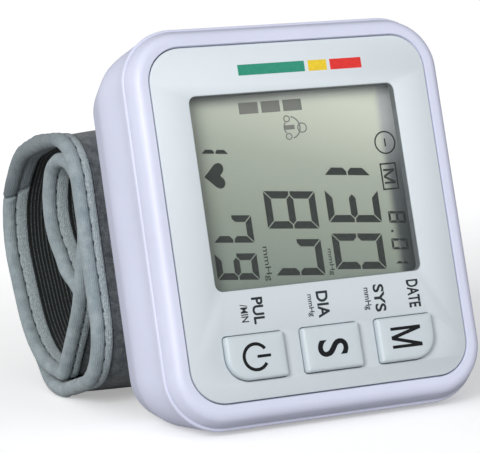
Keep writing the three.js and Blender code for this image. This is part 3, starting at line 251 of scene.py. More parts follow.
def display_ground():
    """The display's grey-green reflecting ground: lighter at its head, partly as painted light, and with painted
    shade under the window's edges.
    """
    finish = Finish("display_ground", 0.32)
    x, y, _ = finish.on_device()
    # The ground lightens towards its head and its right: in part the display's own tone, in part painted light.
    height = finish.combine("ADD", y, finish.combine("MULTIPLY", x, 0.3))
    inputs = {"Value": height, "From Min": -20.0, "From Max": 30.0}
    rise = finish.node("ShaderNodeMapRange", inputs).outputs["Result"]
    low_tones = ((0.1, 121, 134, 123), (0.19, 128, 141, 129), (0.35, 142, 152, 137))
    ground = finish.ramp(rise, shades(*low_tones, (0.63, 167, 176, 161), (0.92, 217, 224, 206)))
    # Painted shade: darker bands under the window's right and top edges.
    shade = finish.ramp(rise, shades((0.42, 60, 67, 69), (0.68, 92, 99, 101), (0.88, 184, 187, 187)))
    right = finish.share(x, 18.7, 20.8)
    top = finish.combine("MULTIPLY", finish.share(y, 21.9, 25.4), 0.85)
    shaded = finish.blend_colours(finish.combine("MAXIMUM", right, top), ground, shade)
    speck = finish.noise(finish.place(), 5200.0, 2.0)
    grain = finish.between(speck, 0.0, 0.12)
    finish.feed("Base Color", finish.blend_colours(grain, shaded, srgb(110, 118, 110)))
    finish.feed("Roughness", finish.between(speck, 0.26, 0.4))
    return finish.material


def clear_plastic():
    finish = Finish("clear_window", 0.06, Alpha=0.02)
    film = finish.noise(finish.place(), 40.0)
    finish.feed("Base Color", finish.ramp(film, shades((0.3, 235, 240, 240), (0.7, 250, 252, 252))))
    finish.feed("Roughness", finish.between(film, 0.04, 0.1))
    return finish.material


def knit_cloth():
    """Grey knitted cloth: fine wales along the strap, courses across them and a heathered, rubbed colour."""
    finish = Finish("knit_cloth", 0.9, Sheen_Weight=0.25, Sheen_Roughness=0.5)
    where = finish.place("UV")
    wales = finish.bands(where, 0.85, "Y", distortion=1.2)
    courses = finish.bands(where, 0.62, "X", distortion=1.6)
    loops = finish.combine("MULTIPLY", wales, courses)
    heather = finish.noise(where, 1.15, 4.0, 0.7)
    tuft = finish.noise(where, 0.45, 3.0, 0.6)
    patch = finish.noise(where, 0.1, 3.0)
    yarn = finish.ramp(heather, shades((0.3, 54, 60, 63), (0.5, 88, 94, 97), (0.7, 132, 137, 139)))
    felted = finish.blend_colours(finish.share(tuft, 0.5, 0.72), yarn, srgb(116, 122, 125))
    matted = finish.blend_colours(finish.share(tuft, 0.48, 0.3), felted, srgb(60, 66, 70))
    worn = finish.blend_colours(finish.between(patch, 0.0, 0.35), matted, srgb(98, 104, 108))
    finish.feed("Base Color", finish.blend_colours(finish.between(loops, 0.3, 0.0), worn, srgb(48, 53, 57)))
    finish.feed("Roughness", finish.between(heather, 0.82, 0.98))
    finish.relief(finish.combine("ADD", loops, heather), 0.00016, 0.7)
    return finish.material


def ribbed_lining():
    """Black ribbed lining: the ribs are in the mesh, with painted highlights along their crests, and the yarn's own
    bumps are in the finish.
    """
    finish = Finish("ribbed_lining", 0.85, Sheen_Weight=0.2, Sheen_Roughness=0.4)
    where = finish.place("UV")
    twist = finish.bands(where, 0.9, "X", distortion=2.0)
    fuzz = finish.noise(where, 2.4, 4.0)
    rib = finish.bands(where, 2 * math.pi / (20 * RIB_PITCH), "Y")
    rib.node.inputs["Phase Offset"].default_value = math.pi * (1 + 2 * CLOTH_X / RIB_PITCH)
    # Painted highlights: lighter yarn along the crests of the ribs.
    painted_crest_light = finish.ramp(fuzz, shades((0.3, 44, 52, 52), (0.7, 104, 114, 114)))
    yarn = finish.blend_colours(finish.share(rib, 0.6, 0.97), srgb(14, 16, 17), painted_crest_light)
    finish.feed("Base Color", finish.blend_colours(finish.between(twist, 0.3, 0.0), yarn, srgb(10, 10, 11)))
    finish.feed("Roughness", finish.between(fuzz, 0.75, 0.95))
    finish.relief(finish.combine("ADD", twist, fuzz), 0.0001, 0.6)
    return finish.material


def woven_tape(name, lap=None):
    """Grey-blue binding tape: a light, speckled hem and a smoother roll over the edge, painted darker as shade.
    Across the tape the pattern runs from the edge. A lap is the stretch where a second length of tape is sewn
    over the first; that stretch is painted darker as shade, with a painted shadow beside the lap's end."""
    finish = Finish(name, 0.75, Sheen_Weight=0.2, Sheen_Roughness=0.45)
    where = finish.place("UV")
    along, across, _ = finish.node("ShaderNodeSeparateXYZ", {"Vector": where}).outputs
    inboard = finish.combine("ABSOLUTE", across, 0.0)
    weft = finish.bands(where, 0.95, "X", distortion=0.8)
    warp = finish.bands(where, 0.8, "Y", distortion=0.6)
    weave = finish.combine("MULTIPLY", weft, warp)
    rub = finish.noise(where, 0.35, 4.0, 0.65)
    fibre = finish.noise(where, 1.9, 3.0, 0.7)
    # The roll's tones are darker than the hem's: painted shade on the roll over the edge.
    roll = finish.ramp(rub, shades((0.25, 134, 148, 152), (0.5, 159, 172, 176), (0.8, 188, 200, 202)))
    hem = finish.ramp(fibre, shades((0.3, 146, 160, 164), (0.5, 178, 190, 193), (0.7, 216, 225, 226)))
    tape = finish.blend_colours(finish.share(inboard, 2.6, 3.5), roll, hem)
    # Painted shade in the sewn-down groove.
    painted_groove_shade = finish.stripe(inboard, 2.75, 3.15, 3.2, 3.6)
    tape = finish.tint(tape, painted_groove_shade, 0.55, srgb(70, 82, 88))
    if lap:
        start, end = lap
        seam = finish.combine("ADD", along, finish.combine("MULTIPLY", inboard, 0.5))
        # Painted shade over the lapped stretch, and a painted shadow beside the lap's end.
        over = finish.stripe(seam, start, start + 8.0, end - 0.3, end)
        shadow = finish.stripe(seam, end - 7.0, end, end, end + 0.2)
        line = finish.stripe(seam, end - 0.3, end, end + 0.2, end + 0.6)
        tape = finish.tint(tape, over, 0.55, srgb(98, 109, 114))
        tape = finish.tint(tape, shadow, 0.5, srgb(70, 79, 84))
        tape = finish.tint(tape, line, 0.8, srgb(46, 54, 59))
    finish.feed("Base Color", finish.blend_colours(finish.between(weave, 0.3, 0.0), tape, srgb(98, 109, 116)))
    finish.feed("Roughness", finish.between(rub, 0.65, 0.88))
    finish.relief(finish.combine("ADD", weave, fibre), 0.00014, 0.7)
    return finish.material


# Dark stitch marks: painted shade in the holes of the stitching.
def stitch_hole_shade():
    finish = Finish("stitch_hole_shade", 0.7)
    lay = finish.bands(finish.place(), 900.0, "X", distortion=3.0)
    finish.feed("Base Color", finish.ramp(lay, shades((0.2, 40, 47, 52), (0.8, 66, 75, 81))))
    finish.relief(lay, 0.00008, 0.6)
    return finish.material


def plated_metal(name, colour, roughness=0.28):
    """Plated metal with a brushed grain."""
    finish = Finish(name, roughness, Metallic=1.0)
    grain = finish.noise(finish.place(scale=(1, 1, 12)), 700.0, 3.0)
    finish.feed("Base Color", finish.ramp(grain, [(0.3, scaled(colour, 0.8)), (0.7, colour)]))
    finish.feed("Roughness", finish.between(grain, roughness - 0.08, roughness + 0.12))
    return finish.material


def soft_rubber(name, colour, roughness=0.7):
    finish = Finish(name, roughness)
    bloom = finish.noise(finish.place(), 350.0, 4.0)
    finish.feed("Base Color", finish.ramp(bloom, [(0.35, colour), (0.75, scaled(colour, 1.3, 0.01))]))
    finish.feed("Roughness", finish.between(bloom, roughness - 0.1, roughness + 0.15))
    finish.relief(bloom, 0.00003, 0.5)
    return finish.material


def board_mask():
    finish = Finish("board_mask", 0.4)
    where = finish.place()
    weave = finish.combine("ADD", finish.bands(where, 420.0, "X"), finish.bands(where, 420.0, "Z"))
    finish.feed("Base Color", finish.ramp(weave, shades((0.2, 28, 84, 52), (0.8, 44, 112, 70))))
    finish.feed("Roughness", finish.between(weave, 0.35, 0.5))
    return finish.material


SHELL = moulded("shell_plastic", srgb(220, 223, 243), 0.42)
# The face panel has painted shade towards its foot.
PANEL = moulded("panel_plastic", srgb(222, 230, 235), 0.4, shade=0.03, painted_foot_shade=0.17)
KEY_PLASTIC = moulded("key_plastic", srgb(202, 212, 217), 0.38, shade=0.03)
BLACK_PRINT = printed("black_print", srgb(14, 16, 19))
GREY_PRINT = printed("grey_print", srgb(42, 47, 53))
SEGMENT = printed("dark_segment", srgb(26, 34, 31), 0.55)
FAINT_SEGMENT = printed("faint_segment", srgb(118, 120, 114), 0.4)
GREEN_PRINT = printed("green_print", srgb(50, 143, 118))
YELLOW_PRINT = printed("yellow_print", srgb(232, 200, 52))
RED_PRINT = printed("red_print", srgb(220, 54, 50))
DISPLAY = display_ground()
WINDOW = clear_plastic()
CLOTH = knit_cloth()
LINING = ribbed_lining()
TAPE = woven_tape("woven_tape")
STITCH_HOLE_SHADE = stitch_hole_shade()
STEEL = plated_metal("plated_steel", (0.62, 0.63, 0.65, 1))
CAN = plated_metal("cell_can", srgb(96, 112, 160), 0.35)
BOARD = board_mask()
DARK_PLASTIC = moulded("dark_plastic", srgb(44, 46, 50), 0.5)
IVORY = moulded("ivory_plastic", srgb(226, 222, 208), 0.45)
GREY_PLASTIC = moulded("grey_plastic", srgb(188, 193, 204), 0.5)
RUBBER = soft_rubber("black_rubber", srgb(34, 35, 37))
SILICONE = soft_rubber("clear_silicone", srgb(205, 206, 200), 0.5)
PINK_RUBBER = soft_rubber("contact_rubber", srgb(200, 128, 142))
RED_WIRE = soft_rubber("red_wire", srgb(166, 52, 46), 0.5)
# Painted shade for the wall of the panel's window.
WINDOW_WALL_SHADE = soft_rubber("window_wall_shade", srgb(104, 109, 112), 0.6)
AIR_FILM = soft_rubber("bladder_film", srgb(112, 116, 120), 0.45)
HOOK_NYLON = moulded("hook_nylon", srgb(122, 128, 132), 0.45)


# Meshes


def new_object(name, data):
    made = bpy.data.objects.new(name, data)
    bpy.context.scene.collection.objects.link(made)
    return made


def settled(holder, *others):
    """The mesh that an object has after its modifiers. The objects themselves are removed."""
    bpy.context.view_layer.update()
    mesh = bpy.data.meshes.new_from_object(holder.evaluated_get(bpy.context.evaluated_depsgraph_get()))
    for spent in (holder, *others):
        bpy.data.objects.remove(spent)
    return mesh


def to_object(name, mesh, *materials, smooth=32):
    """An object at the origin with this mesh, smooth except at edges sharper than the angle."""
    for material in materials:
        mesh.materials.append(material)
    mesh.validate()
    mesh.shade_smooth()
    mesh.set_sharp_from_angle(angle=math.radians(smooth))
    return new_object(name, mesh)


def mesh_of(name, vertices, faces, weld=True):
    """A mesh in the row frame from device points, welded or not, with its faces turned outwards."""
    mesh = bpy.data.meshes.new(name)
    mesh.from_pydata([in_row(v) for v in vertices], [], faces)
    shape = bmesh.new()
    shape.from_mesh(mesh)
    if weld:
        bmesh.ops.remove_doubles(shape, verts=shape.verts, dist=1e-6)
    bmesh.ops.recalc_face_normals(shape, faces=shape.faces)
    shape.to_mesh(mesh)
    shape.free()
    return mesh


def lay_pattern(mesh, spots):
    """Gives each vertex of a mesh its place in the pattern of the cloth."""
    layer = mesh.uv_layers.new(name="weave")
    index = np.empty(len(mesh.loops), int)
    mesh.loops.foreach_get("vertex_index", index)
    layer.data.foreach_set("uv", np.array(spots)[index].ravel())
    return mesh


def level(x0, x1, y0, y1, radii, z):
    """A rectangle with a radius at its lower right, upper right, upper left and lower left corner."""
    corners = ((x1, y0, -1, 1, -90), (x1, y1, -1, -1, 0), (x0, y1, 1, -1, 90), (x0, y0, 1, 1, 180))
    points = []
    for (x, y, in_x, in_y, start), radius in zip(corners, radii):
        r = max(radius, 0.02)
        for k in range(CORNER_STEPS + 1):
            a = math.radians(start + 90 * k / CORNER_STEPS)
            points.append((x + in_x * r + r * math.cos(a), y + in_y * r + r * math.sin(a), z))
    return points


def housing_level(out, depth, side=0.0, drop=0.0):
    """A level of the housing outside the panel's edge. Its side walls and its foot can stand further out."""
    half_x, half_y = PANEL_X / 2 + out + side, PANEL_Y / 2 + out
    return level(-half_x, half_x, -half_y - drop, half_y, [PANEL_CORNER + out + 0.5 * side] * 4, -depth)


def window_level(grow, z):
    half_x, half_y = WINDOW_X / 2 + grow, WINDOW_Y / 2 + grow
    corner = max(WINDOW_CORNER + min(grow, 0.4), 0.1)
    return level(-half_x, half_x, WINDOW_UP - half_y, WINDOW_UP + half_y, [corner] * 4, z)


def panel_level(ease, z):
    half_x, half_y = PANEL_X / 2 - ease, PANEL_Y / 2 - ease
    return level(-half_x, half_x, -half_y, half_y, [PANEL_CORNER - ease] * 4, z)


def key_level(key, grow, z):
    x = KEYS[key]
    radii = [KEY_CORNER + grow] * 4
    if key == "memory":
        radii[0] = KEY_OUTER_CORNER + grow
    if key == "power":
        radii[3] = KEY_OUTER_CORNER + grow
    half_x, half_y = KEY_X / 2 + grow, KEY_Y / 2 + grow
    return level(x - half_x, x + half_x, KEY_ROW - half_y, KEY_ROW + half_y, radii, z)


def loft_faces(levels, first, closed_loop=False):
    """Quads between levels that hold equal numbers of points, counted from the first vertex."""
    count, faces = len(levels[0]), []
    pairs = [(k, k + 1) for k in range(len(levels) - 1)]
    if closed_loop:
        pairs.append((len(levels) - 1, 0))
    for low, high in pairs:
        a, b = first + low * count, first + high * count
        for i in range(count):
            j = (i + 1) % count
            faces.append((a + i, a + j, b + j, b + i))
    return faces


def end_caps(levels):
    """Faces that close the first and the last level."""
    count = len(levels[0])
    last = (len(levels) - 1) * count
    return [tuple(range(count))[::-1], tuple(range(last, last + count))]


def loft(name, levels):
    """A closed loft, capped at both ends."""
    vertices = [p for ring in levels for p in ring]
    return mesh_of(name, vertices, loft_faces(levels, 0) + end_caps(levels))


def framed_plate(name, rings, depths):
    """A plate with holes. Each ring gives its outline for how far its edge is eased and a z;
    depths lists (ease, z) from the front face to the back face."""
    vertices, faces = [], []
    fronts, backs = [], []
    for ring in rings:
        levels = [ring(ease, z) for ease, z in depths]
        first = len(vertices)
        vertices += [p for points in levels for p in points]
        faces += loft_faces(levels, first)
        count = len(levels[0])
        fronts.append([(first + i, levels[0][i]) for i in range(count)])
        last = first + (len(levels) - 1) * count
        backs.append([(last + i, levels[-1][i]) for i in range(count)])
    for loops in (fronts, backs):
        index = [i for loop in loops for i, _ in loop]
        triangles = tessellate_polygon([[Vector(p) for _, p in loop] for loop in loops])
        faces += [tuple(index[i] for i in t) for t in triangles]
    return mesh_of(name, vertices, faces)


def arc(radius, start, end, steps):
    """Points of an arc about the origin, with angles in degrees."""
    angles = [math.radians(start + (end - start) * k / steps) for k in range(steps + 1)]
    return [(radius * math.cos(a), radius * math.sin(a)) for a in angles]


def carve(mesh, cutters, operation="DIFFERENCE"):
    """The mesh after each cutter has been taken from it, or joined to it."""
    work = new_object("work", mesh)
    tools = [new_object("tool", cutter) for cutter in cutters]
    for tool in tools:
        step = work.modifiers.new("carve", "BOOLEAN")
        step.operation = operation
        step.solver = "EXACT"
        step.object = tool
    return settled(work, *tools)


def block(x, y, z):
    """A box between two values on each axis."""
    vertices = [(a, b, c) for a in x for b in y for c in z]
    faces = [(0, 1, 3, 2), (4, 6, 7, 5), (0, 4, 5, 1), (2, 3, 7, 6), (0, 2, 6, 4), (1, 5, 7, 3)]
    return mesh_of("block", vertices, faces)


def rod(x, y, radius, z0, z1, sides=40):
    """A rod along z."""
    ring = arc(radius, 0, 360, sides)[:-1]
    return loft("rod", [[(x + a, y + b, z) for a, b in ring] for z in (z0, z1)])


def cross_rod(x0, x1, y, depth, radius, sides=48):
    """A rod along the wrist."""
    ring = arc(radius, 0, 360, sides)[:-1]
    return loft("rod", [[(x, y + a, -depth + b) for a, b in ring] for x in (x0, x1)])


# Housing


BACK_CENTRE_DEPTH = HOUSING_DEPTH - BACK_R
FLAT_END_DEPTH = BACK_CENTRE_DEPTH + BACK_R * math.sin(LEAN)
FLAT_END_OUT = WAIST_OUT - (FLAT_END_DEPTH - WAIST_DEPTH) * math.tan(LEAN)
BACK_CENTRE_OUT = FLAT_END_OUT - BACK_R * math.cos(LEAN)
FLOOR_DEPTH = HOUSING_DEPTH - WALL
BAY_HALF_X, BAY_ROOF, BAY_WALL, BAY_SPACE = 25.35, 14.0, 1.3, 0.6
BAY_TOP_Y = PANEL_Y / 2 + FLAT_END_OUT - WALL - BAY_SPACE
CELL_R, CELL_PITCH = 5.25, 11.5
BAY_LOW_Y = BAY_TOP_Y - 2 * (CELL_R + BAY_SPACE) - CELL_PITCH
SCREW_X, SCREW_Y, SCREW_R, SCREW_HEAD_R, SCREW_HEAD_H, SCREW_L = 26.0, -21.0, 1.0, 2.0, 1.5, 14.0
SCREW_SEAT = HOUSING_DEPTH - SCREW_HEAD_H - 1
SCREWS = (-SCREW_X, SCREW_X)
POST_R, POST_END, BOSS_R = 2.2, SCREW_SEAT - 10, 3.3
PEG_R, NIPPLE_R, NIPPLE_AT = 1.6, 2.2, (16.0, -11.0)
SADDLE_LOW_Y, SADDLE_TOP_Y = -16.6, BAY_LOW_Y - 2 * GAP
SADDLE_HALF_X, SADDLE_CORNER, SADDLE_T = 24.0, 5.0, 3.1
PEGS_X = (-SADDLE_HALF_X + SADDLE_CORNER, SADDLE_HALF_X - SADDLE_CORNER)
PEGS_Y = (SADDLE_LOW_Y + 2 * SADDLE_CORNER, SADDLE_TOP_Y - SADDLE_CORNER)
PEGS = [(x, y) for x in PEGS_X for y in PEGS_Y]
PUMP_Y, PUMP_DEPTH, PUMP_R = -1.0, FLOOR_DEPTH - GAP - 6.2, 6.0
PUMP_RIBS_X = (-21.0, -12.0)
FAR = 60.0


def bezel_profile():
    """Distance out and depth, from the panel's edge over the ridge and down the slope to its foot."""
    centre_depth = BEZEL_EDGE_R - BEZEL_RISE
    end_depth = centre_depth - BEZEL_EDGE_R * math.cos(BEZEL_RAKE)
    run = (BEZEL_DEPTH - end_depth) / math.tan(BEZEL_RAKE)
    centre_out = BEZEL_SPREAD - run - BEZEL_EDGE_R * math.sin(BEZEL_RAKE)
    edge = []
    for k in range(11):
        a = BEZEL_RAKE * k / 10
        edge.append((centre_out + BEZEL_EDGE_R * math.sin(a), centre_depth - BEZEL_EDGE_R * math.cos(a)))
    inner_edge = [(FINE_GAP, 0.35), (FINE_GAP + 0.04, 0.08), (FINE_GAP + 0.14, -0.08)]
    foot, foot_slope = 0.3, 2.75
    turn = [(foot / foot_slope, foot), (0.12, 0.08), (foot, 0.0)]
    return [*inner_edge, *edge, *((BEZEL_SPREAD - a, BEZEL_DEPTH - b) for a, b in turn)]


def front_bezel():
    wall = BEZEL_SPREAD - BEZEL_WALL
    levels = [(FINE_GAP, DECK_TOP), *bezel_profile(), (wall, BEZEL_DEPTH), (wall, DECK_BOTTOM)]
    rings = []
    for out, depth in levels:
        share = (out - FINE_GAP) / (BEZEL_SPREAD - FINE_GAP)
        rings.append(housing_level(out, depth, 0, FRONT_DROP * share))
    body = loft("front_bezel", rings)
    through = (-DECK_BOTTOM - 1, -DECK_TOP + 1)
    openings = [loft("opening", [window_level(LENS_LAP + GAP, z) for z in through])]
    for key in KEYS:
        openings.append(loft("opening", [key_level(key, KEY_FLANGE + GAP, z) for z in through]))
    posts = [rod(x, SCREW_Y, POST_R, -POST_END, -DECK_BOTTOM + 0.4) for x in SCREWS]
    pilots = [rod(x, SCREW_Y, SCREW_R + GAP, -POST_END - 1, -DECK_BOTTOM - 1) for x in SCREWS]
    hook_y = PANEL_Y / 2 + RIM_INSIDE - 0.6
    hook_z = (-BEZEL_DEPTH - 3.4, -DECK_BOTTOM)
    hooks = [block((x - 3, x + 3), (hook_y - 1, hook_y), hook_z) for x in (-15, 15)]
    return carve(carve(carve(body, openings), posts + hooks, "UNION"), pilots)


def back_arc(radius):
    turn = arc(radius, math.degrees(LEAN), 90, 10)
    return [(BACK_CENTRE_OUT + x, BACK_CENTRE_DEPTH + y, SIDE_FULLNESS) for x, y in turn]


def shell_outside():
    """Levels of the outside from the rim to the back, with the waist eased."""
    top, turn = BEZEL_DEPTH + GAP, BEZEL_DEPTH + GAP + RIM_R
    rim = [(RIM_OUT - RIM_R + x, turn + y, RIM_SIDE, FRONT_DROP) for x, y in arc(RIM_R, -90, 0, 8)]
    rim = [(RIM_OUT - RIM_R - 0.6, top, RIM_SIDE, FRONT_DROP), *rim]
    side = []
    for k in range(1, 13):
        depth = turn + (WAIST_DEPTH + 2.0 - turn) * k / 12
        share = min((depth - turn) / (WAIST_DEPTH - turn), 1.0)
        wall = RIM_OUT + (WAIST_OUT - RIM_OUT) * share - max(depth - WAIST_DEPTH, 0.0) * math.tan(LEAN)
        eased = s_curve(share)
        side.append((wall, depth, RIM_SIDE + (SIDE_FULLNESS - RIM_SIDE) * eased, FRONT_DROP * (1 - eased)))
    return [*rim, *side, *back_arc(BACK_R)]


def shell_inside():
    top = BEZEL_DEPTH + GAP
    waist = (WAIST_OUT - WALL, WAIST_DEPTH, SIDE_FULLNESS)
    return [(RIM_INSIDE, top), (RIM_INSIDE, top + RIM_R), waist, *back_arc(BACK_R - WALL)]


def housing_loft(name, levels):
    return loft(name, [housing_level(*values) for values in levels])


def shell_mesh():
    return housing_loft("rear_shell", [*shell_inside()[::-1], *shell_outside()])


def key_cap(key):
    edge = 0.7
    levels = [key_level(key, KEY_FLANGE, -DECK_TOP - KEY_FLANGE), key_level(key, KEY_FLANGE, -DECK_TOP)]
    levels += [key_level(key, 0, -DECK_TOP), key_level(key, 0, KEY_RISE - edge)]
    for x, y in arc(edge, 0, 80, 6):
        levels.append(key_level(key, x - edge, KEY_RISE - edge + y))
    levels += [key_level(key, -1.4, KEY_RISE + 0.03), key_level(key, -2.6, KEY_RISE + 0.05)]
    stem = rod(KEYS[key], KEY_ROW, KEY_STEM_R, KEY_STEM_END, -DECK_TOP - KEY_FLANGE / 2)
    return carve(loft(f"key_{key}", levels), [stem], "UNION")


def dress_housing():
    bezel = to_object("bezel", front_bezel(), SHELL)
    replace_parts(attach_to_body(bezel, "housing"), "front_bezel")

    rings = [panel_level, window_level]
    for key in KEYS:
        rings.append(lambda ease, z, key=key: key_level(key, KEY_GAP + ease, z))
    depths = [(0.22, 0), (0.07, -0.06), (0, -0.22), (0, -PANEL_T)]
    panel = to_object("face", framed_plate("face", rings, depths), PANEL)
    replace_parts(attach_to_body(panel, "housing"), "face_panel")

    # Painted shade: a thin dark film on the wall of the panel's window.
    foot = -DECK_TOP + 0.04
    edges = ((-0.02, -0.26), (-0.02, foot), (-0.12, foot), (-0.08, -0.3))
    shade_film = [window_level(grow, z) for grow, z in edges]
    points = [p for outline in shade_film for p in outline]
    ring = mesh_of("window_wall_shade", points, loft_faces(shade_film, 0, closed_loop=True))
    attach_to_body(to_object("window_wall_shade", ring, WINDOW_WALL_SHADE), "housing")

    for key in KEYS:
        cap = to_object(f"{key}_key_cap", key_cap(key), KEY_PLASTIC)
        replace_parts(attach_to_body(cap, f"{key}_key"), f"key_{key}")


dress_housing()


# Back of the housing, battery bay and screws


def bay_space(clearance):
    half = BAY_HALF_X - clearance
    return block((-half, half), (BAY_LOW_Y + clearance, FAR), (-FAR, -BAY_ROOF - clearance))


def rear_shell():
    bay_x, foot_z = BAY_HALF_X + BAY_WALL, -FLOOR_DEPTH - 0.5
    bay_y = (BAY_LOW_Y - BAY_WALL, BAY_TOP_Y + WALL)
    ribs = [block((-bay_x, bay_x), bay_y, (foot_z, -BAY_ROOF + BAY_WALL))]
    for x in SCREWS:
        ribs.append(rod(x, SCREW_Y, BOSS_R, foot_z, -POST_END - GAP))
    for x in PUMP_RIBS_X:
        rib = block((x - 0.8, x + 0.8), (PUMP_Y - PUMP_R, PUMP_Y + PUMP_R), (foot_z, -PUMP_DEPTH - 2))
        ribs.append(carve(rib, [cross_rod(x - 2, x + 2, PUMP_Y, PUMP_DEPTH, PUMP_R + GAP)]))
    ribs = [carve(rib, [housing_loft("filled", shell_outside())], "INTERSECT") for rib in ribs]
    cup = carve(shell_mesh(), ribs, "UNION")
    holes = [bay_space(0), rod(*NIPPLE_AT, NIPPLE_R + GAP, -FAR, -FLOOR_DEPTH + 1)]
    holes += [rod(x, y, PEG_R + GAP, -HOUSING_DEPTH - 1, -FLOOR_DEPTH + 1) for x, y in PEGS]
    for x in SCREWS:
        holes.append(rod(x, SCREW_Y, SCREW_R + GAP, -FAR, 0))
        holes.append(rod(x, SCREW_Y, SCREW_HEAD_R + GAP, -FAR, -SCREW_SEAT))
    return carve(cup, holes)


def grown_level(half, low, top, corner, grow, z):
    """A level as wide to both sides of the middle, with its outline moved outwards."""
    return level(-half - grow, half + grow, low - grow, top + grow, [corner + grow] * 4, z)


def grip_ridge(y):
    """A low ridge across the battery cover."""
    thick, back = 0.45, -HOUSING_DEPTH
    outline = (BAY_HALF_X / 2, y - thick, y + thick, thick)
    eased = ((0.2, 0.5), (0.2, 0), (0, -0.25), (-0.22, -0.5))
    return loft("ridge", [grown_level(*outline, grow, back + z) for grow, z in eased])


def battery_door():
    cover = carve(shell_mesh(), [bay_space(GAP)], "INTERSECT")
    return carve(cover, [grip_ridge(BAY_LOW_Y + CELL_PITCH + 2 * k) for k in range(3)], "UNION")


def housing_screw(x):
    """A pan head screw with a cross recess."""
    head, top, tip = -SCREW_SEAT - GAP, -SCREW_SEAT - SCREW_HEAD_H, -SCREW_SEAT + SCREW_L
    profile = [(0.6, tip - 0.4), (SCREW_R, tip - 1.6), (SCREW_R, head), (SCREW_HEAD_R, head)]
    profile += [(SCREW_HEAD_R - 0.5 + a, top + 0.5 - b) for a, b in arc(0.5, 0, 90, 5)]
    levels = [[(x + a, SCREW_Y + b, z) for a, b in arc(r, 0, 360, 36)[:-1]] for r, z in profile]
    slots = []
    for a, b in ((1.1, 0.22), (0.22, 1.1)):
        slots.append(block((x - a, x + a), (SCREW_Y - b, SCREW_Y + b), (top - 1, top + 0.7)))
    return carve(loft("screw", levels), slots)


def cuff_saddle():
    top = -HOUSING_DEPTH - GAP
    outline = (SADDLE_HALF_X, SADDLE_LOW_Y, SADDLE_TOP_Y, SADDLE_CORNER)
    eased = ((-0.25, 0), (0, -0.25), (0, -1.55), (-0.35, -2.2), (-1.0, -SADDLE_T))
    levels = [grown_level(*outline, grow, top + z) for grow, z in eased]
    pegs = [rod(x, y, PEG_R, top - 0.5, top + 2.4) for x, y in PEGS]
    return carve(carve(loft("saddle", levels), pegs, "UNION"), [rod(*NIPPLE_AT, NIPPLE_R + GAP, -FAR, 0)])


def dress_back():
    shell = to_object("shell", rear_shell(), SHELL)
    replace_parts(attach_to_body(shell, "housing"), "rear_shell")
    door = to_object("battery_lid", battery_door(), SHELL)
    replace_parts(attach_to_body(door, "battery_cover"), "battery_door")
    for k, x in enumerate(SCREWS, 1):
        screw = to_object(f"screw_{k}", housing_screw(x), STEEL)
        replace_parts(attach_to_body(screw, "housing"), f"housing_screw_{k}")
    saddle = to_object("saddle", cuff_saddle(), GREY_PLASTIC)
    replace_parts(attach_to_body(saddle, "housing"), "cuff_saddle")


dress_back()


# Finishes of the solids that stay as they are


def finish_solids():
    finishes = {
        WINDOW: ["display_lens"],
        DISPLAY: ["lcd_glass"],
        IVORY: ["lcd_frame", "pressure_sensor", "air_tee", "cuff_nipple", "pump_cam"],
        STEEL: ["lcd_reflector", "pump_motor", "valve_plunger", "valve_spring"],
        PINK_RUBBER: ["zebra_connector"],
        DARK_PLASTIC: ["buzzer", "microcontroller", "pump_head", "valve_body"],
        BOARD: ["main_board"],
        RUBBER: ["pump_diaphragm", "motor_lead_2"],
        SILICONE: ["hose_pump", "hose_valve", "hose_sensor"],
        RED_WIRE: ["motor_lead_1"],
        CAN: ["battery_cell_1", "battery_cell_2"],
    }
    for key in KEYS:
        finishes[DARK_PLASTIC] += [f"switch_{key}", f"plunger_{key}"]
    for k in (1, 2):
        finishes[STEEL] += [f"battery_contact_{k}", f"battery_spring_{k}"]
    for material, names in finishes.items():
        for name in names:
            mesh = NODES[name].data
            mesh.materials.clear()
            mesh.materials.append(material)


finish_solids()


# Prints on the face and marks in the display

INK_RISE, INK_SUNK = 0.03, 0.02


def prism(outline, z0, z1):
    """Vertices and faces of a thin plate over an outline of (x, y) points."""
    count = len(outline)
    vertices = [(x, y, z0) for x, y in outline] + [(x, y, z1) for x, y in outline]
    faces = [tuple(range(count))[::-1], tuple(range(count, 2 * count))]
    faces += [(k, (k + 1) % count, count + (k + 1) % count, count + k) for k in range(count)]
    return vertices, faces


def plates(name, outlines, z):
    """One mesh of thin printed plates."""
    vertices, faces = [], []
    for outline in outlines:
        more, sides = prism(outline, z - INK_SUNK, z + INK_RISE)
        faces += [tuple(len(vertices) + i for i in side) for side in sides]
        vertices += more
    return mesh_of(name, vertices, faces, weld=False)


def lettering(text, x, y, z, weight=0.0):
    """Printed letters that fill a box. Letters stand up along x and read towards lower y."""
    curve = bpy.data.curves.new("letters", "FONT")
    curve.body = text
    curve.extrude = 0.5
    curve.offset = weight
    curve.resolution_u = 6
    mesh = settled(new_object("letters", curve))
    points = np.array([v.co for v in mesh.vertices])
    low, high = points.min(axis=0), points.max(axis=0)
    share = (points - low) / np.maximum(high - low, 1e-9)
    for vertex, (along, up, deep) in zip(mesh.vertices, share):
        height = z - INK_SUNK + deep * (INK_RISE + INK_SUNK)
        vertex.co = in_row((x[0] + up * (x[1] - x[0]), y[0] + along * (y[1] - y[0]), height))
    mesh.materials.clear()
    return mesh


def joined(name, meshes):
    """Several meshes as one."""
    shape = bmesh.new()
    for mesh in meshes:
        shape.from_mesh(mesh)
    bmesh.ops.recalc_face_normals(shape, faces=shape.faces)
    whole = bpy.data.meshes.new(name)
    shape.to_mesh(whole)
    shape.free()
    return whole


SEGMENTS = {"0": "abcdef", "1": "bc", "3": "abcdg", "7": "abcf", "8": "abcdefg", "9": "abcdfg"}
SLANT = 0.09


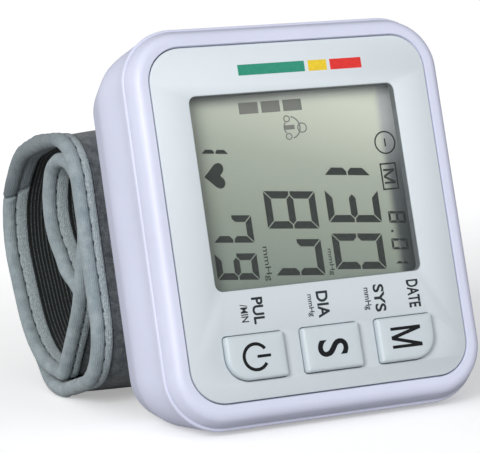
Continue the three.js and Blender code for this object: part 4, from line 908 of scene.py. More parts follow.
def segment_outlines(wide, tall, t, g):
    """The seven bars of a digit, of thickness t and with gaps g, as outlines of (right, up) points."""
    mid, b = tall / 2, t / 2
    right, head, over, under = wide - t, tall - t, mid + b, mid - b
    bridge = [(b + g, mid), (t + g, over), (right - g, over)]
    bridge += [(wide - b - g, mid), (right - g, under), (t + g, under)]
    return {
        "a": [(g, tall), (wide - g, tall), (right - g, head), (t + g, head)],
        "b": [(wide, tall - g), (right, head - g), (right, over + g), (wide - b, mid + g), (wide, mid + g)],
        "c": [(wide, g), (wide, mid - g), (wide - b, mid - g), (right, under - g), (right, t + g)],
        "d": [(g, 0), (t + g, t), (right - g, t), (wide - g, 0)],
        "e": [(0, g), (t, t + g), (t, under - g), (b, mid - g), (0, mid - g)],
        "f": [(0, tall - g), (0, mid + g), (b, mid + g), (t, over + g), (t, head - g)],
        "g": bridge,
    }


def digit(symbol, x, y, t=1.45, gap=0.15):
    """Bars of one slanted digit inside a box: x from foot to head, y from its left to its right side."""
    tall = x[1] - x[0]
    wide = y[0] - y[1] - SLANT * tall
    bars = segment_outlines(wide, tall, t, gap)
    return [[(x[0] + up, y[0] - right - SLANT * up) for right, up in bars[k]] for k in SEGMENTS[symbol]]


def letter_m(x, y, t):
    """A letter M that fills a box, in one outline of straight strokes."""
    tall, wide = x[1] - x[0], y[0] - y[1]
    point = wide / 2 - 0.55 * t
    notch, dip = tall * (1 - t / point), tall - (wide / 2 - 1.15 * t) * tall / point
    left = [(0, 0), (0, tall), (1.15 * t, tall), (wide / 2, dip)]
    right = [(wide - 1.15 * t, tall), (wide, tall), (wide, 0), (wide - t, 0), (wide - t, notch)]
    foot = [(wide - point, 0), (point, 0), (t, notch), (t, 0)]
    return [(x[0] + up, y[0] - across) for across, up in left + right + foot]


def ring_outlines(x, y, outer, inner, start=0.0, end=360.0, pieces=28):
    """An annulus, or part of one, as short quads. Angles run from up the display, in degrees."""
    shapes = []
    for k in range(pieces):
        angles = [math.radians(start + (end - start) * (k + i) / pieces) for i in (0, 1)]
        corners = [(outer, angles[0]), (outer, angles[1]), (inner, angles[1]), (inner, angles[0])]
        shapes.append([(x + r * math.cos(a), y - r * math.sin(a)) for r, a in corners])
    return shapes


def bar_outline(x0, x1, y0, y1):
    return [(x0, y0), (x1, y0), (x1, y1), (x0, y1)]


def frame_outlines(x0, x1, y0, y1, t):
    return [
        bar_outline(x0, x1, y0, y0 + t),
        bar_outline(x0, x1, y1 - t, y1),
        bar_outline(x0, x0 + t, y0 + t, y1 - t),
        bar_outline(x1 - t, x1, y0 + t, y1 - t),
    ]


def heart_outline(x0, x1, y0, y1):
    """A heart that stands up along x, point down."""
    points = []
    for k in range(48):
        a = 2 * math.pi * k / 48
        right = 11 * math.sin(a) ** 3 + 5 * math.sin(a)
        up = 11 * math.cos(a) - 4.2 * math.cos(2 * a) - 1.2 * math.cos(3 * a) - 0.8 * math.cos(4 * a)
        points.append((right, up))
    lows = [min(p[i] for p in points) for i in (0, 1)]
    spans = [max(p[i] for p in points) - lows[i] for i in (0, 1)]
    outline = []
    for right, up in points:
        along, across = (up - lows[1]) / spans[1], (right - lows[0]) / spans[0]
        outline.append((x0 + along * (x1 - x0), y1 - across * (y1 - y0)))
    return outline


def person_outlines(x, y):
    """A small bust, drawn as lines: a round head, sloping shoulders and two raised hands."""
    shapes = ring_outlines(x + 1.6, y - 0.2, 1.05, 0.8)
    shapes += ring_outlines(x - 1.0, y, 2.3, 2.03, -78, 78, 20)
    shapes += ring_outlines(x - 0.6, y, 1.75, 1.5, 140, 220, 12)
    for hand in (-1.75, 1.75):
        shapes += ring_outlines(x - 1.45, y + hand, 0.72, 0.48, pieces=16)
    return shapes


def display_marks():
    z = -GLASS_TOP
    digits = (
        ("1", (5.85, 15.9), (13.3, 6.9), 1.5),
        ("3", (5.4, 16.9), (4.9, -2.6)),
        ("0", (5.45, 16.4), (-3.8, -11.85)),
        ("8", (-7.75, 3.15), (5.75, -2.6)),
        ("7", (-7.55, 2.95), (-3.7, -11.75)),
        ("7", (-19.5, -11.0), (2.05, -4.05), 1.3),
        ("9", (-19.7, -11.0), (-5.35, -11.25), 1.3),
        ("1", (-19.5, -13.7), (17.25, 13.5), 0.8),
        ("8", (18.5, 22.3), (-0.5, -3.2), 0.5, 0.07),
        ("0", (18.3, 21.9), (-5.95, -8.5), 0.5, 0.07),
        ("1", (18.6, 21.6), (-9.4, -11.3), 0.5, 0.07),
    )
    dark = [bar for values in digits for bar in digit(*values)]
    dark += [heart_outline(-19.4, -15.3, 6.95, 11.95), bar_outline(18.6, 19.1, -4.75, -4.3)]
    dark += frame_outlines(18.25, 21.85, 3.7, 9.1, 0.32) + ring_outlines(20.2, 13.2, 2.35, 2.05)
    dark += [bar_outline(20.05, 20.35, 12.4, 14.0), letter_m((18.85, 21.25), (7.9, 4.9), 0.42)]
    marks = joined("display_marks", [
        plates("bars", dark, z),
        lettering("mmHg", (-9.9, -8.35), (-5.0, -11.65), z, 0.005),
        lettering("mmHg", (3.85, 5.06), (-6.7, -11.9), z, 0.005),
    ])
    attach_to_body(to_object("display_marks", marks, SEGMENT), "housing")

    blocks = [bar_outline(a, b, 21.0, 23.25) for a, b in ((-10.26, -6.2), (-5.5, -1.5), (-0.83, 3.18))]
    faint = joined("display_hints", [
        plates("blocks", blocks + person_outlines(1.0, 17.7), z),
        lettering("1", (-1.2, 1.0), (18.2, 17.3), z),
    ])
    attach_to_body(to_object("display_hints", faint, FAINT_SEGMENT), "housing")


def face_prints():
    bars = {
        "normal": (-11.0, 3.2, GREEN_PRINT),
        "raised": (4.0, 8.0, YELLOW_PRINT),
        "high": (8.75, 15.6, RED_PRINT),
    }
    for name, (x0, x1, ink) in bars.items():
        bar = plates(f"{name}_bar", [bar_outline(x0, x1, 27.9, 30.0)], 0)
        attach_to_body(to_object(f"{name}_bar", bar, ink), "housing")
    words = [
        ("DATE", (18.1, 20.65), (-14.75, -20.2), 0.026),
        ("SYS", (10.67, 13.0), (-14.95, -20.3), 0.026),
        ("DIA", (-1.6, 0.85), (-15.0, -20.15), 0.026),
        ("PUL", (-15.2, -12.9), (-14.8, -19.9), 0.026),
        ("mmHg", (8.3, 9.9), (-15.35, -19.7), 0.014),
        ("mmHg", (-3.75, -2.4), (-15.4, -19.7), 0.014),
        ("/MIN", (-17.7, -16.2), (-15.9, -19.3), 0.014),
    ]
    labels = joined("labels", [lettering(text, x, y, 0, weight) for text, x, y, weight in words])
    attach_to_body(to_object("labels", labels, GREY_PRINT), "housing")

    z = KEY_RISE + 0.05
    ring = ring_outlines(-KEY_PITCH - 0.45, KEY_ROW - 0.05, 2.75, 2.12, 34, 326, 40)
    ring.append(bar_outline(-KEY_PITCH - 0.15, -KEY_PITCH + 2.65, KEY_ROW - 0.3, KEY_ROW + 0.25))
    glyphs = {
        "power": plates("power_sign", ring, z),
        "set": lettering("S", (-3.45, 2.95), (KEY_ROW + 1.5, KEY_ROW - 1.75), z, 0.014),
        "memory": plates("memory_sign", [letter_m((12.45, 18.95), (-23.75, -27.85), 0.6)], z),
    }
    for key, mesh in glyphs.items():
        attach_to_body(to_object(f"{key}_key_sign", mesh, BLACK_PRINT), f"{key}_key")


display_marks()
face_prints()


# Cuff: the belt's path, its layers, bindings and stitches

FRONT_Z = -(HOUSING_DEPTH + GAP + SADDLE_T + GAP + CLOTH_OUT)
LAP_GAP = 0.6
LOW_R, TOP_R, CREST_R, LOOP_BACK_R = 12.5, 10.8, 16.8, 22.0
FOLD_R, FLAP_R, CURL_R = 2.2, 22.0, 11.5
LOOP_TOP, LOOP_LOW, LOOP_DEPTH, CREST_UP, BACK_STRAIGHT, FOLD_DEPTH = 26.8, 26.3, 48.8, 8.3, 9.0, 24.8
CURL_STRAIGHT, TAIL_L, TAIL_SAG = 1.0, 10.8, 11.0
TIP_HEADING, BACK_HEADING, FLAP_HEADING, CURL_HEADING, TAIL_HEADING = -36.0, 284.5, 39.0, 229.0, 308.0
LAYER_PITCH = 2 * STRAP_HALF + LAP_GAP
RUN_PITCH = 2 * CLOTH_OUT + PAD_DEPTH + LAP_GAP
GROUND = -(PANEL_Y / 2 + WAIST_OUT) * math.cos(LEAN) - WAIST_DEPTH * math.sin(LEAN)


def forward(heading):
    return math.sin(math.radians(heading)), math.cos(math.radians(heading))


def left_of(heading):
    y, z = forward(heading)
    return z, -y


def on_circle(circle, heading):
    (y, z, r), (left_y, left_z) = circle, left_of(heading)
    return y - r * left_y, z - r * left_z


def circle_after(circle, heading, straight, r):
    (y, z), (dy, dz), (ny, nz) = on_circle(circle, heading), forward(heading), left_of(heading)
    return y + straight * dy + r * ny, z + straight * dz + r * nz, r


def strap_circles():
    """The circles that the belt is laid round, from its short end to its curled tail."""
    fold_z = FRONT_Z - FOLD_DEPTH
    heel_r = FOLD_R + LAYER_PITCH
    fold_y = (GROUND + heel_r + STRAP_HALF - fold_z * math.sin(LEAN)) / math.cos(LEAN)
    heel, fold = (fold_y, fold_z, heel_r), (fold_y, fold_z, FOLD_R)
    low = (-LOOP_LOW + STRAP_HALF + LOW_R, FRONT_Z - LOW_R, LOW_R)
    top = (LOOP_TOP - STRAP_HALF - TOP_R, FRONT_Z - TOP_R, TOP_R)
    crest = (CREST_UP, FRONT_Z + 2 * STRAP_HALF - LOOP_DEPTH + CREST_R, CREST_R)
    back = circle_after(crest, BACK_HEADING, BACK_STRAIGHT, LOOP_BACK_R)
    start_y, start_z = on_circle(fold, FLAP_HEADING)
    flap_z = FRONT_Z - RUN_PITCH - FLAP_R
    rise, ahead = forward(FLAP_HEADING)
    flap = (start_y + (FLAP_R + (flap_z - start_z) * rise) / ahead, flap_z, FLAP_R)
    turn = (top[0], top[1], TOP_R - RUN_PITCH)
    curl = circle_after(turn, CURL_HEADING, CURL_STRAIGHT, CURL_R)
    return [heel, low, top, crest, back, fold, flap, turn, curl]


def heading_between(a, b):
    across, along = b[0] - a[0], b[1] - a[1]
    return math.degrees(math.atan2(across, along) + math.asin((a[2] - b[2]) / math.hypot(across, along)))


def strap_path(step=1.0):
    """Rows of y, z, outward normal and distance along the belt, and the distance at the end of each arc."""
    circles = strap_circles()
    headings = [TIP_HEADING, *(heading_between(a, b) for a, b in zip(circles, circles[1:])), TAIL_HEADING]
    for k in range(1, len(headings)):
        while headings[k] < headings[k - 1]:
            headings[k] += 360
    rows, ends = [], []

    def put(y, z, heading):
        ny, nz = (-v for v in left_of(heading))
        s = rows[-1][4] + math.hypot(y - rows[-1][0], z - rows[-1][1]) if rows else 0.0
        if not rows or s > rows[-1][4] + 1e-6:
            rows.append((y, z, ny, nz, s))

    def run_to(y, z, heading):
        y0, z0 = rows[-1][:2]
        count = max(1, math.ceil(math.hypot(y - y0, z - z0) / step))
        for k in range(1, count + 1):
            put(y0 + (y - y0) * k / count, z0 + (z - z0) * k / count, heading)

    for circle, start, end in zip(circles, headings, headings[1:]):
        if rows:
            run_to(*on_circle(circle, start), start)
        count = max(2, math.ceil((end - start) / 4), math.ceil(math.radians(end - start) * circle[2] / step))
        for k in range(count + 1):
            heading = start + (end - start) * k / count
            put(*on_circle(circle, heading), heading)
        ends.append(rows[-1][4])
    y, z = rows[-1][:2]
    for k in range(1, 12):
        heading = TAIL_HEADING - TAIL_SAG * min(k / 3, 1)
        dy, dz = forward(heading)
        y, z = y + TAIL_L / 11 * dy, z + TAIL_L / 11 * dz
        put(y, z, heading)
    return np.array(rows), ends


def ease(s, start, end):
    """A smooth step from 0 to 1 between two distances along the belt."""
    return s_curve(np.clip((np.asarray(s, float) - start) / (end - start), 0.0, 1.0))


TIP_LAP, TIP_PRESS, TIP_GAP, TIP_LIFT, TIP_STEPS = 14.0, 0.04, 0.04, 1.5, 14
# Where along the belt its back run passes the short end
BACK_RUN = (150, 166)


def pressed(s):
    """The strap's thickness against its full one: the short end lies pressed flat behind the back run."""
    return 1 - (1 - TIP_PRESS) * float(ease(s, 0.0, -0.95 * TIP_LAP))


def narrowed(s):
    """The strap's width against its full one: the pressed end is a little narrower."""
    return 0.978 + 0.022 * pressed(s)


def lengthen_tip(rows):
    """The path with its short end carried on up the outside of the back run."""
    near = [k for k in range(len(rows)) if BACK_RUN[0] < rows[k, 4] < BACK_RUN[1]]
    start = rows[min(near, key=lambda k: math.dist(rows[k, :2], rows[0, :2])), 4]
    more = []
    for k in range(1, TIP_STEPS + 1):
        share = k / TIP_STEPS
        y, z, ny, nz = (np.interp(start - TIP_LAP * share, rows[:, 4], rows[:, i]) for i in range(4))
        away = STRAP_HALF * (1 + pressed(-TIP_LAP * share)) + TIP_GAP + TIP_LIFT * (1 - share) ** 2
        more.append((y + away * ny, z + away * nz))
    joint = len(more)
    points = np.array(more[::-1] + [tuple(row[:2]) for row in rows])
    # The joint is smoothed
    a, b = joint - 4, joint + 5
    for _ in range(14):
        points[a:b] = (points[a - 1 : b - 1] + 2 * points[a:b] + points[a + 1 : b + 1]) / 4
    along = np.gradient(points, axis=0)
    along /= np.linalg.norm(along, axis=1, keepdims=True)
    normals = np.stack([-along[:, 1], along[:, 0]], axis=1)
    normals[joint + 6 :] = rows[6:, 2:4]
    before = -np.cumsum(np.linalg.norm(np.diff(points[: joint + 1], axis=0), axis=1)[::-1])[::-1]
    return np.column_stack([points, normals, np.concatenate([before, rows[:, 4]])])


PATH, ARC_ENDS = strap_path()
STRAP_L = float(PATH[-1, 4])
HINGE_S = ARC_ENDS[2]
# Behind its top turn the strap bows out, by these distances past the turn
BOW_S = [-9, -4, 0, 9, 20, 30, 70, 83]
BOW_OUT = [0, -0.25, 0.1, 1.5, 1.6, 1.0, 0.95, 0]
BOW = np.convolve(np.interp(PATH[:, 4] - HINGE_S, BOW_S, BOW_OUT), np.full(7, 1 / 7), mode="same")
PATH[:, :2] += BOW[:, None] * PATH[:, 2:4]
PATH = lengthen_tip(PATH)
TIP_S = float(PATH[0, 4])
PAD_S0, PAD_S1, PAD_RAMP = ARC_ENDS[1] - LOW_R, HINGE_S - TOP_R / 2, 2.6
PAD_FLAT_X = CUFF_X / 2 - TAPE_W - 0.9 - PAD_RAMP
BEND, BEND_END = 6.5, 1.6
STRETCHES = {
    "base": (TIP_S, HINGE_S - BEND),
    "bend": (HINGE_S - BEND, HINGE_S + BEND),
    "strap": (HINGE_S + BEND, STRAP_L),
}
SPLICE_S = ARC_ENDS[3] - 15.2
# The near binding's tape, with painted shade over its lap.
LAPPED_TAPE = woven_tape("lapped_tape_painted_shade", (HINGE_S - 9, SPLICE_S))


def path_at(s):
    """Rows of the path at given distances along it."""
    s = np.atleast_1d(np.asarray(s, float))
    rows = np.stack([np.interp(s, PATH[:, 4], PATH[:, k]) for k in range(4)] + [s], axis=1)
    rows[:, 2:4] /= np.linalg.norm(rows[:, 2:4], axis=1, keepdims=True)
    return rows


def path_between(s0, s1, every=0.0):
    """The path's own rows between two distances, thinned to at least a spacing."""
    inner = [s for s in PATH[:, 4] if s0 + 0.2 < s < s1 - 0.2]
    kept = [s0]
    for s in inner:
        if s - kept[-1] >= every:
            kept.append(s)
    return path_at([*kept, s1])


def ripple(s, x):
    """Slow waves that a used strap has, from -1 to 1."""
    return (
        math.sin(0.23 * s + 0.05 * x)
        + 0.6 * math.sin(0.61 * s - 0.09 * x + 1.3)
        + 0.4 * math.sin(0.11 * x + 0.37 * s + 2.1)
    ) / 2.0


def drift(s):
    """How far the wound strap has slipped along the wrist, on its back run, its inner run and its tail."""
    inner = ease(s, ARC_ENDS[6] - 11, ARC_ENDS[6] + 3) - ease(s, ARC_ENDS[6] + 9, ARC_ENDS[7])
    back = ease(s, HINGE_S + 26, HINGE_S + 36) - ease(s, ARC_ENDS[4], ARC_ENDS[5]) + ease(s, 8.0, -2.0)
    return float(1.6 * inner - 0.4 * back + 1.3 * ease(s, STRAP_L - 6, STRAP_L))


def on_strap(row, x, offset):
    """A point beside a row of the path."""
    y, z, ny, nz, s = row
    return x + drift(s), y + offset * ny, z + offset * nz


def strip(name, rows, section_at):
    """A closed strip along the path. Each section is a closed loop of (x, offset, v), where v is its place
    in the pattern across the strap."""
    sections = [section_at(float(row[4])) for row in rows]
    vertices, spots = [], []
    for (y, z, ny, nz, s), section in zip(rows, sections):
        slip, thin, narrow = drift(s), pressed(s), narrowed(s)
        for x, offset, v in section:
            vertices.append((narrow * x + slip, y + thin * offset * ny, z + thin * offset * nz))
            spots.append((s, v))
    faces = loft_faces(sections, 0) + end_caps(sections)
    return lay_pattern(mesh_of(name, vertices, faces, weld=False), spots)


def attach(piece, where):
    """Set a piece of the cuff on the housing or on the strap; a piece across the bend between them stays where it
    is, on neither body.
    """
    if where != "bend":
        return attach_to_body(piece, {"base": "housing", "strap": "strap"}[where])
    ends = path_at([HINGE_S - BEND + BEND_END, HINGE_S + BEND - BEND_END])
    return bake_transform(piece)


def lay(name, build, material, slot, base_node=None, strap_node=None, smooth=50):
    """The same layer in the three stretches of the strap."""
    made = {}
    for where, (s0, s1) in STRETCHES.items():
        piece = attach(to_object(f"{name}_{where}", build(s0, s1), material, smooth=smooth), where)
        node = {"base": base_node, "strap": strap_node, "bend": None}[where]
        if node:
            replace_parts(piece, node)
        made[where] = piece
    return made


STITCH_PITCH, STITCH_L, STITCH_R = 3.3, 1.0, 0.26
STITCH_X = 33.55
CROWN_S = [0, 8, 20, ARC_ENDS[1] - 3, 60, 66, 160, 168, 185, 260]
CROWN_H = [0.3, 0.5, 0.6, 0, 0, 1.0, 1.0, 0.6, 0.25, 0.25]


def crown(s, x):
    """How far the padded strap swells out between its bindings; it lies flat on the saddle."""
    hem = CUFF_X / 2 - TAPE_W
    rise = float(np.interp(s, CROWN_S, CROWN_H)) * max(0.0, 1 - (abs(x) / hem) ** 4)
    pull = math.sin(2 * math.pi * s / STITCH_PITCH) + 0.7 * math.sin(2 * math.pi * s / 8.3 + 0.2 * x)
    return rise + 0.07 * pull * math.exp(-abs(hem - abs(x)) / 2.2)


def outer_cloth(s0, s1):
    columns = np.linspace(-CLOTH_X, CLOTH_X, 61)

    def section(s):
        top = []
        for x in columns:
            swell = crown(s, x) if abs(x) < CUFF_X / 2 - TAPE_W else 0.0
            top.append((x, CLOTH_OUT - 0.03 + 0.05 * ripple(s, x) + swell, x))
        return top + [(x, CLOTH_GAP / 2, x) for x in (CLOTH_X, 0.0, -CLOTH_X)]

    return strip("outer_cloth", path_between(s0, s1), section)


def pad_depth(s, x):
    """How far the padding pushes the lining in."""
    along = min((s - PAD_S0) / PAD_RAMP, (PAD_S1 - s) / PAD_RAMP)
    across = (PAD_FLAT_X + PAD_RAMP - abs(x)) / PAD_RAMP
    return PAD_DEPTH * s_curve(min(max(min(along, across), 0.0), 1.0))


def lining(s0, s1):
    columns = np.linspace(-CLOTH_X, CLOTH_X, 3 * RIB_COUNT + 1)
    back = np.linspace(-CLOTH_X, CLOTH_X, 41)[::-1]

    def section(s):
        face = []
        for k, x in enumerate(columns):
            valley = RIB_DEPTH * (0.0, 0.75, 0.75)[k % 3]
            face.append((x, -CLOTH_OUT - pad_depth(s, x) + valley, x))
        return face + [(x, -CLOTH_GAP / 2 - pad_depth(s, x), x) for x in back]

    return strip("lining", path_between(s0, s1, 1.2), section)


INNER_HEM = 5.2


def lap_step(side, s, inboard):
    """How far the near tape stands out or in by the place where a second length is sewn over the first."""
    if side > 0:
        return 0.0
    seam = s + 0.55 * inboard - SPLICE_S
    over = 0.25 * float(ease(seam, -30, -22)) * float(1 - ease(seam, -0.3, 0.1))
    return over - 0.32 * math.exp(-(((seam - 0.25) / 0.35) ** 2))


def binding_outline(side, s):
    """Section of an edge binding: a flat hem inboard, a sewn-down groove and a soft roll over the edge. The
    number of the point at the edge comes with it."""
    edge = CUFF_X / 2
    pucker = 0.07 * math.sin(2 * math.pi * s / STITCH_PITCH) + 0.05 * ripple(1.7 * s, 20 * side)

    def hem(width):
        start = edge - width
        flat = 0.46 + pucker / 2
        shape = [(start + 0.2, 0.42)]
        shape += [(x, flat) for x in (start + 0.75, (start + STITCH_X) / 2, STITCH_X - 0.55)]
        shape += [(STITCH_X - 0.25, 0.3), (STITCH_X, 0.14), (STITCH_X + 0.3, 0.36)]
        lapped = [(x, CLOTH_OUT + rise + lap_step(side, s, edge - x) / 2) for x, rise in shape]
        return [(start, CLOTH_OUT + 0.12), (start + 0.02, CLOTH_OUT + 0.3), *lapped]

    reach, half_turn, steps = edge - STITCH_X - 0.85, 118, 12
    roll = []
    for k in range(2 * steps + 1):
        a = math.radians(half_turn - half_turn * k / steps)
        step = lap_step(side, s, reach * (1 - math.cos(a)))
        x = edge - reach + (reach + step / 2) * math.cos(a)
        roll.append((x, (STRAP_HALF + pucker + step) * math.sin(a)))
    outer, inner = hem(TAPE_W), [(x, -offset) for x, offset in hem(INNER_HEM)[::-1]]
    inside = [(edge - INNER_HEM, -CLOTH_OUT - 0.04), (edge - 0.6, -CLOTH_OUT - 0.04)]
    inside += [(edge - 0.6, CLOTH_OUT + 0.04), (edge - TAPE_W, CLOTH_OUT + 0.04)]
    return outer + roll + inner + inside, len(outer) + steps


def binding(side):
    def build(s0, s1):
        def section(s):
            outline, nose = binding_outline(side, s)
            steps = [math.dist(a, b) for a, b in zip(outline, outline[1:])]
            run = np.concatenate([[0.0], np.cumsum(steps)])
            return [(side * x, offset, run[nose] - v) for (x, offset), v in zip(outline, run)]

        stops = set(np.linspace(s0, s1, max(2, round((s1 - s0) / 0.55))))
        if s0 < SPLICE_S < s1:
            stops |= set(np.linspace(SPLICE_S - 3.6, SPLICE_S + 1.0, 24))
        return strip("binding", path_at(sorted(stops)), section)

    return build


def end_tape(s_end, direction):
    """Tape folded over an end of the strap, with a soft nose, as a loop extruded across the strap."""
    rows = path_at(s_end + direction * np.linspace(TAPE_W, 0, 8))
    nose = rows[-1]
    ahead = np.array([-nose[3], nose[2]]) * direction
    spread = CLOTH_OUT + 0.45

    def at(row, offset, reach=0.0):
        y, z, ny, nz, s = row
        out = offset * pressed(s)
        return drift(s), y + out * ny + reach * ahead[0], z + out * nz + reach * ahead[1]

    outline = [at(row, spread + 0.05 * math.sin(k)) for k, row in enumerate(rows)]
    for k in range(1, 10):
        a = math.radians(90 - 18 * k)
        outline.append(at(nose, spread * math.sin(a), 0.75 * math.cos(a)))
    outline += [at(row, -spread) for row in rows[::-1]]
    outline += [at(row, -CLOTH_OUT - 0.05) for row in rows]
    outline += [at(nose, -CLOTH_OUT - 0.05, 0.15), at(nose, CLOTH_OUT + 0.05, 0.15)]
    outline += [at(row, CLOTH_OUT + 0.05) for row in rows[::-1]]
    half = (CUFF_X / 2 - TAPE_W - 0.15) * narrowed(s_end)
    columns = np.linspace(-half, half, 25)
    vertices = [(x + slip, y, z) for x in columns for slip, y, z in outline]
    levels = [outline] * len(columns)
    faces = loft_faces(levels, 0) + end_caps(levels)
    spots = [(x, 0.6 * k) for x in columns for k in range(len(outline))]
    return lay_pattern(mesh_of("end_tape", vertices, faces, weld=False), spots)


class Repeat:
    """A geometry node tree with named inputs, for what repeats along lines or over a sheet."""

    def __init__(self, name, **inputs):
        self.tree = bpy.data.node_groups.new(name, "GeometryNodeTree")
        face = self.tree.interface
        face.new_socket("Geometry", in_out="INPUT", socket_type="NodeSocketGeometry")
        face.new_socket("Geometry", in_out="OUTPUT", socket_type="NodeSocketGeometry")
        self.sockets = {}
        for key, kind in inputs.items():
            socket = face.new_socket(key, in_out="INPUT", socket_type=f"NodeSocket{kind}")
            self.sockets[key] = socket.identifier
        self.start = self.tree.nodes.new("NodeGroupInput")
        self.end = self.tree.nodes.new("NodeGroupOutput")

    def node(self, kind, inputs=None, **settings):
        return add_node(self.tree, kind, inputs, **settings)

    def given(self, key):
        return self.start.outputs[key]

    def close(self, instances):
        real = self.node("GeometryNodeRealizeInstances", {"Geometry": instances}).outputs["Geometry"]
        inputs = {"Geometry": real, "Material": self.given("Material")}
        dyed = self.node("GeometryNodeSetMaterial", inputs).outputs["Geometry"]
        self.tree.links.new(dyed, self.end.inputs["Geometry"])

    def make(self, name, guide, **values):
        """The mesh that the tree gives on a guide mesh."""
        holder = new_object(name, guide)
        step = holder.modifiers.new("repeat", "NODES")
        step.node_group = self.tree
        for key, value in values.items():
            step[self.sockets[key]] = value
        return settled(holder)


def stitch_tree():
    tree = Repeat("stitch_row", Pitch="Float", Length="Float", Radius="Float", Material="Material")
    curve = tree.node("GeometryNodeMeshToCurve", {"Mesh": tree.given("Geometry")}).outputs["Curve"]
    inputs = {"Curve": curve, "Length": tree.given("Pitch")}
    points = tree.node("GeometryNodeResampleCurve", inputs, mode="LENGTH").outputs["Curve"]
    tangent = tree.node("GeometryNodeInputTangent").outputs["Tangent"]
    turn = tree.node("FunctionNodeAlignRotationToVector", {"Vector": tangent}, axis="X").outputs["Rotation"]
    half = tree.node("ShaderNodeMath", {0: tree.given("Length"), 1: 0.5}, operation="MULTIPLY").outputs[0]
    inputs = {"X": half, "Y": tree.given("Radius"), "Z": tree.given("Radius")}
    size = tree.node("ShaderNodeCombineXYZ", inputs).outputs[0]
    ball = tree.node("GeometryNodeMeshUVSphere", {"Segments": 10, "Rings": 8, "Radius": 1.0}).outputs["Mesh"]
    inputs = {"Geometry": ball, "Rotation": (0, math.pi / 2, 0)}
    side = tree.node("GeometryNodeTransform", inputs).outputs["Geometry"]
    inputs = {"Points": points, "Instance": side, "Rotation": turn, "Scale": size}
    tree.close(tree.node("GeometryNodeInstanceOnPoints", inputs).outputs["Instances"])
    return tree


def guide_mesh(lines):
    """Device polylines as one mesh of edges in the row frame."""
    points, edges = [], []
    for line in lines:
        edges += [(len(points) + k, len(points) + k + 1) for k in range(len(line) - 1)]
        points += [in_row(p) for p in line]
    mesh = bpy.data.meshes.new("guide")
    mesh.from_pydata(points, edges, [])
    return mesh


def seam_lines(s0, s1):
    """The lines of stitching on both faces of both edge bindings."""
    rows = path_between(s0, s1)

    def seam(x, offset):
        return [on_strap(row, x, offset * pressed(row[4])) for row in rows]

    lift = CLOTH_OUT + 0.24
    return [seam(x, face * lift) for x in (-STITCH_X, STITCH_X) for face in (-1, 1)]


def hook_tree():
    """Small bent hooks on a grid of points."""
    tree = Repeat("hook_field", Height="Float", Material="Material")
    inputs = {"Resolution": 7, "Radius": 1.0, "Sweep Angle": 4.0}
    line = tree.node("GeometryNodeCurveArc", inputs).outputs["Curve"]
    wire = tree.node("GeometryNodeCurvePrimitiveCircle", {"Resolution": 5, "Radius": 0.22}).outputs["Curve"]
    inputs = {"Curve": line, "Profile Curve": wire, "Fill Caps": True}
    hook = tree.node("GeometryNodeCurveToMesh", inputs).outputs["Mesh"]
    inputs = {"Geometry": hook, "Rotation": (math.pi / 2, 0, 0)}
    stood = tree.node("GeometryNodeTransform", inputs).outputs["Geometry"]
    normal = tree.node("GeometryNodeInputNormal").outputs["Normal"]
    turn = tree.node("FunctionNodeAlignRotationToVector", {"Vector": normal}, axis="Z").outputs["Rotation"]
    inputs = {"Points": tree.given("Geometry"), "Instance": stood, "Rotation": turn}
    inputs["Scale"] = tree.given("Height")
    tree.close(tree.node("GeometryNodeInstanceOnPoints", inputs).outputs["Instances"])
    return tree


HOOK_TAPE_X, HOOK_TAPE_L, HOOK_TAPE_END = 50.0, 10.0, STRAP_L - TAPE_W - CLOTH_GAP
HOOK_BASE, HOOK_TAPE_T, HOOK_PITCH, HOOK_H = -CLOTH_OUT - CLOTH_GAP, 0.28, 0.95, 0.16


def hook_base(s0, s1):
    half, foot = HOOK_TAPE_X / 2, HOOK_BASE - HOOK_TAPE_T

    def section(s):
        top = [(x, HOOK_BASE, x) for x in (-half, half)]
        return top + [(x, foot - 0.03 * math.sin(2 * x), x) for x in np.linspace(half, -half, 51)]

    return strip("hook_base", path_at(np.linspace(s0, s1, 14)), section)


def hook_grid(s0, s1):
    """A sheet under the hooks, which gives their places and the way they stand."""
    rows = path_at(np.arange(s0 + 0.6, s1 - 0.3, HOOK_PITCH))
    columns = np.arange(-HOOK_TAPE_X / 2 + 0.6, HOOK_TAPE_X / 2 - 0.3, HOOK_PITCH)
    depth = HOOK_BASE - HOOK_TAPE_T + 0.01
    points = [in_row(on_strap(row, x, depth)) for row in rows for x in columns]
    count = len(columns)
    corners = [(j * count + i) for j in range(len(rows) - 1) for i in range(count - 1)]
    sheet = bpy.data.meshes.new("hook_places")
    sheet.from_pydata(points, [], [(c, c + count, c + count + 1, c + 1) for c in corners])
    facing = in_row((0, rows[0][0] - rows[0][2], rows[0][1] - rows[0][3])) - in_row((0, *rows[0][:2]))
    if sheet.polygons[0].normal.dot(facing) < 0:
        sheet.flip_normals()
    return sheet


FORMER_X, FORMER_T, FORMER_CORNER, FORMER_EDGE = 56.0, 0.4, 3.0, 0.1


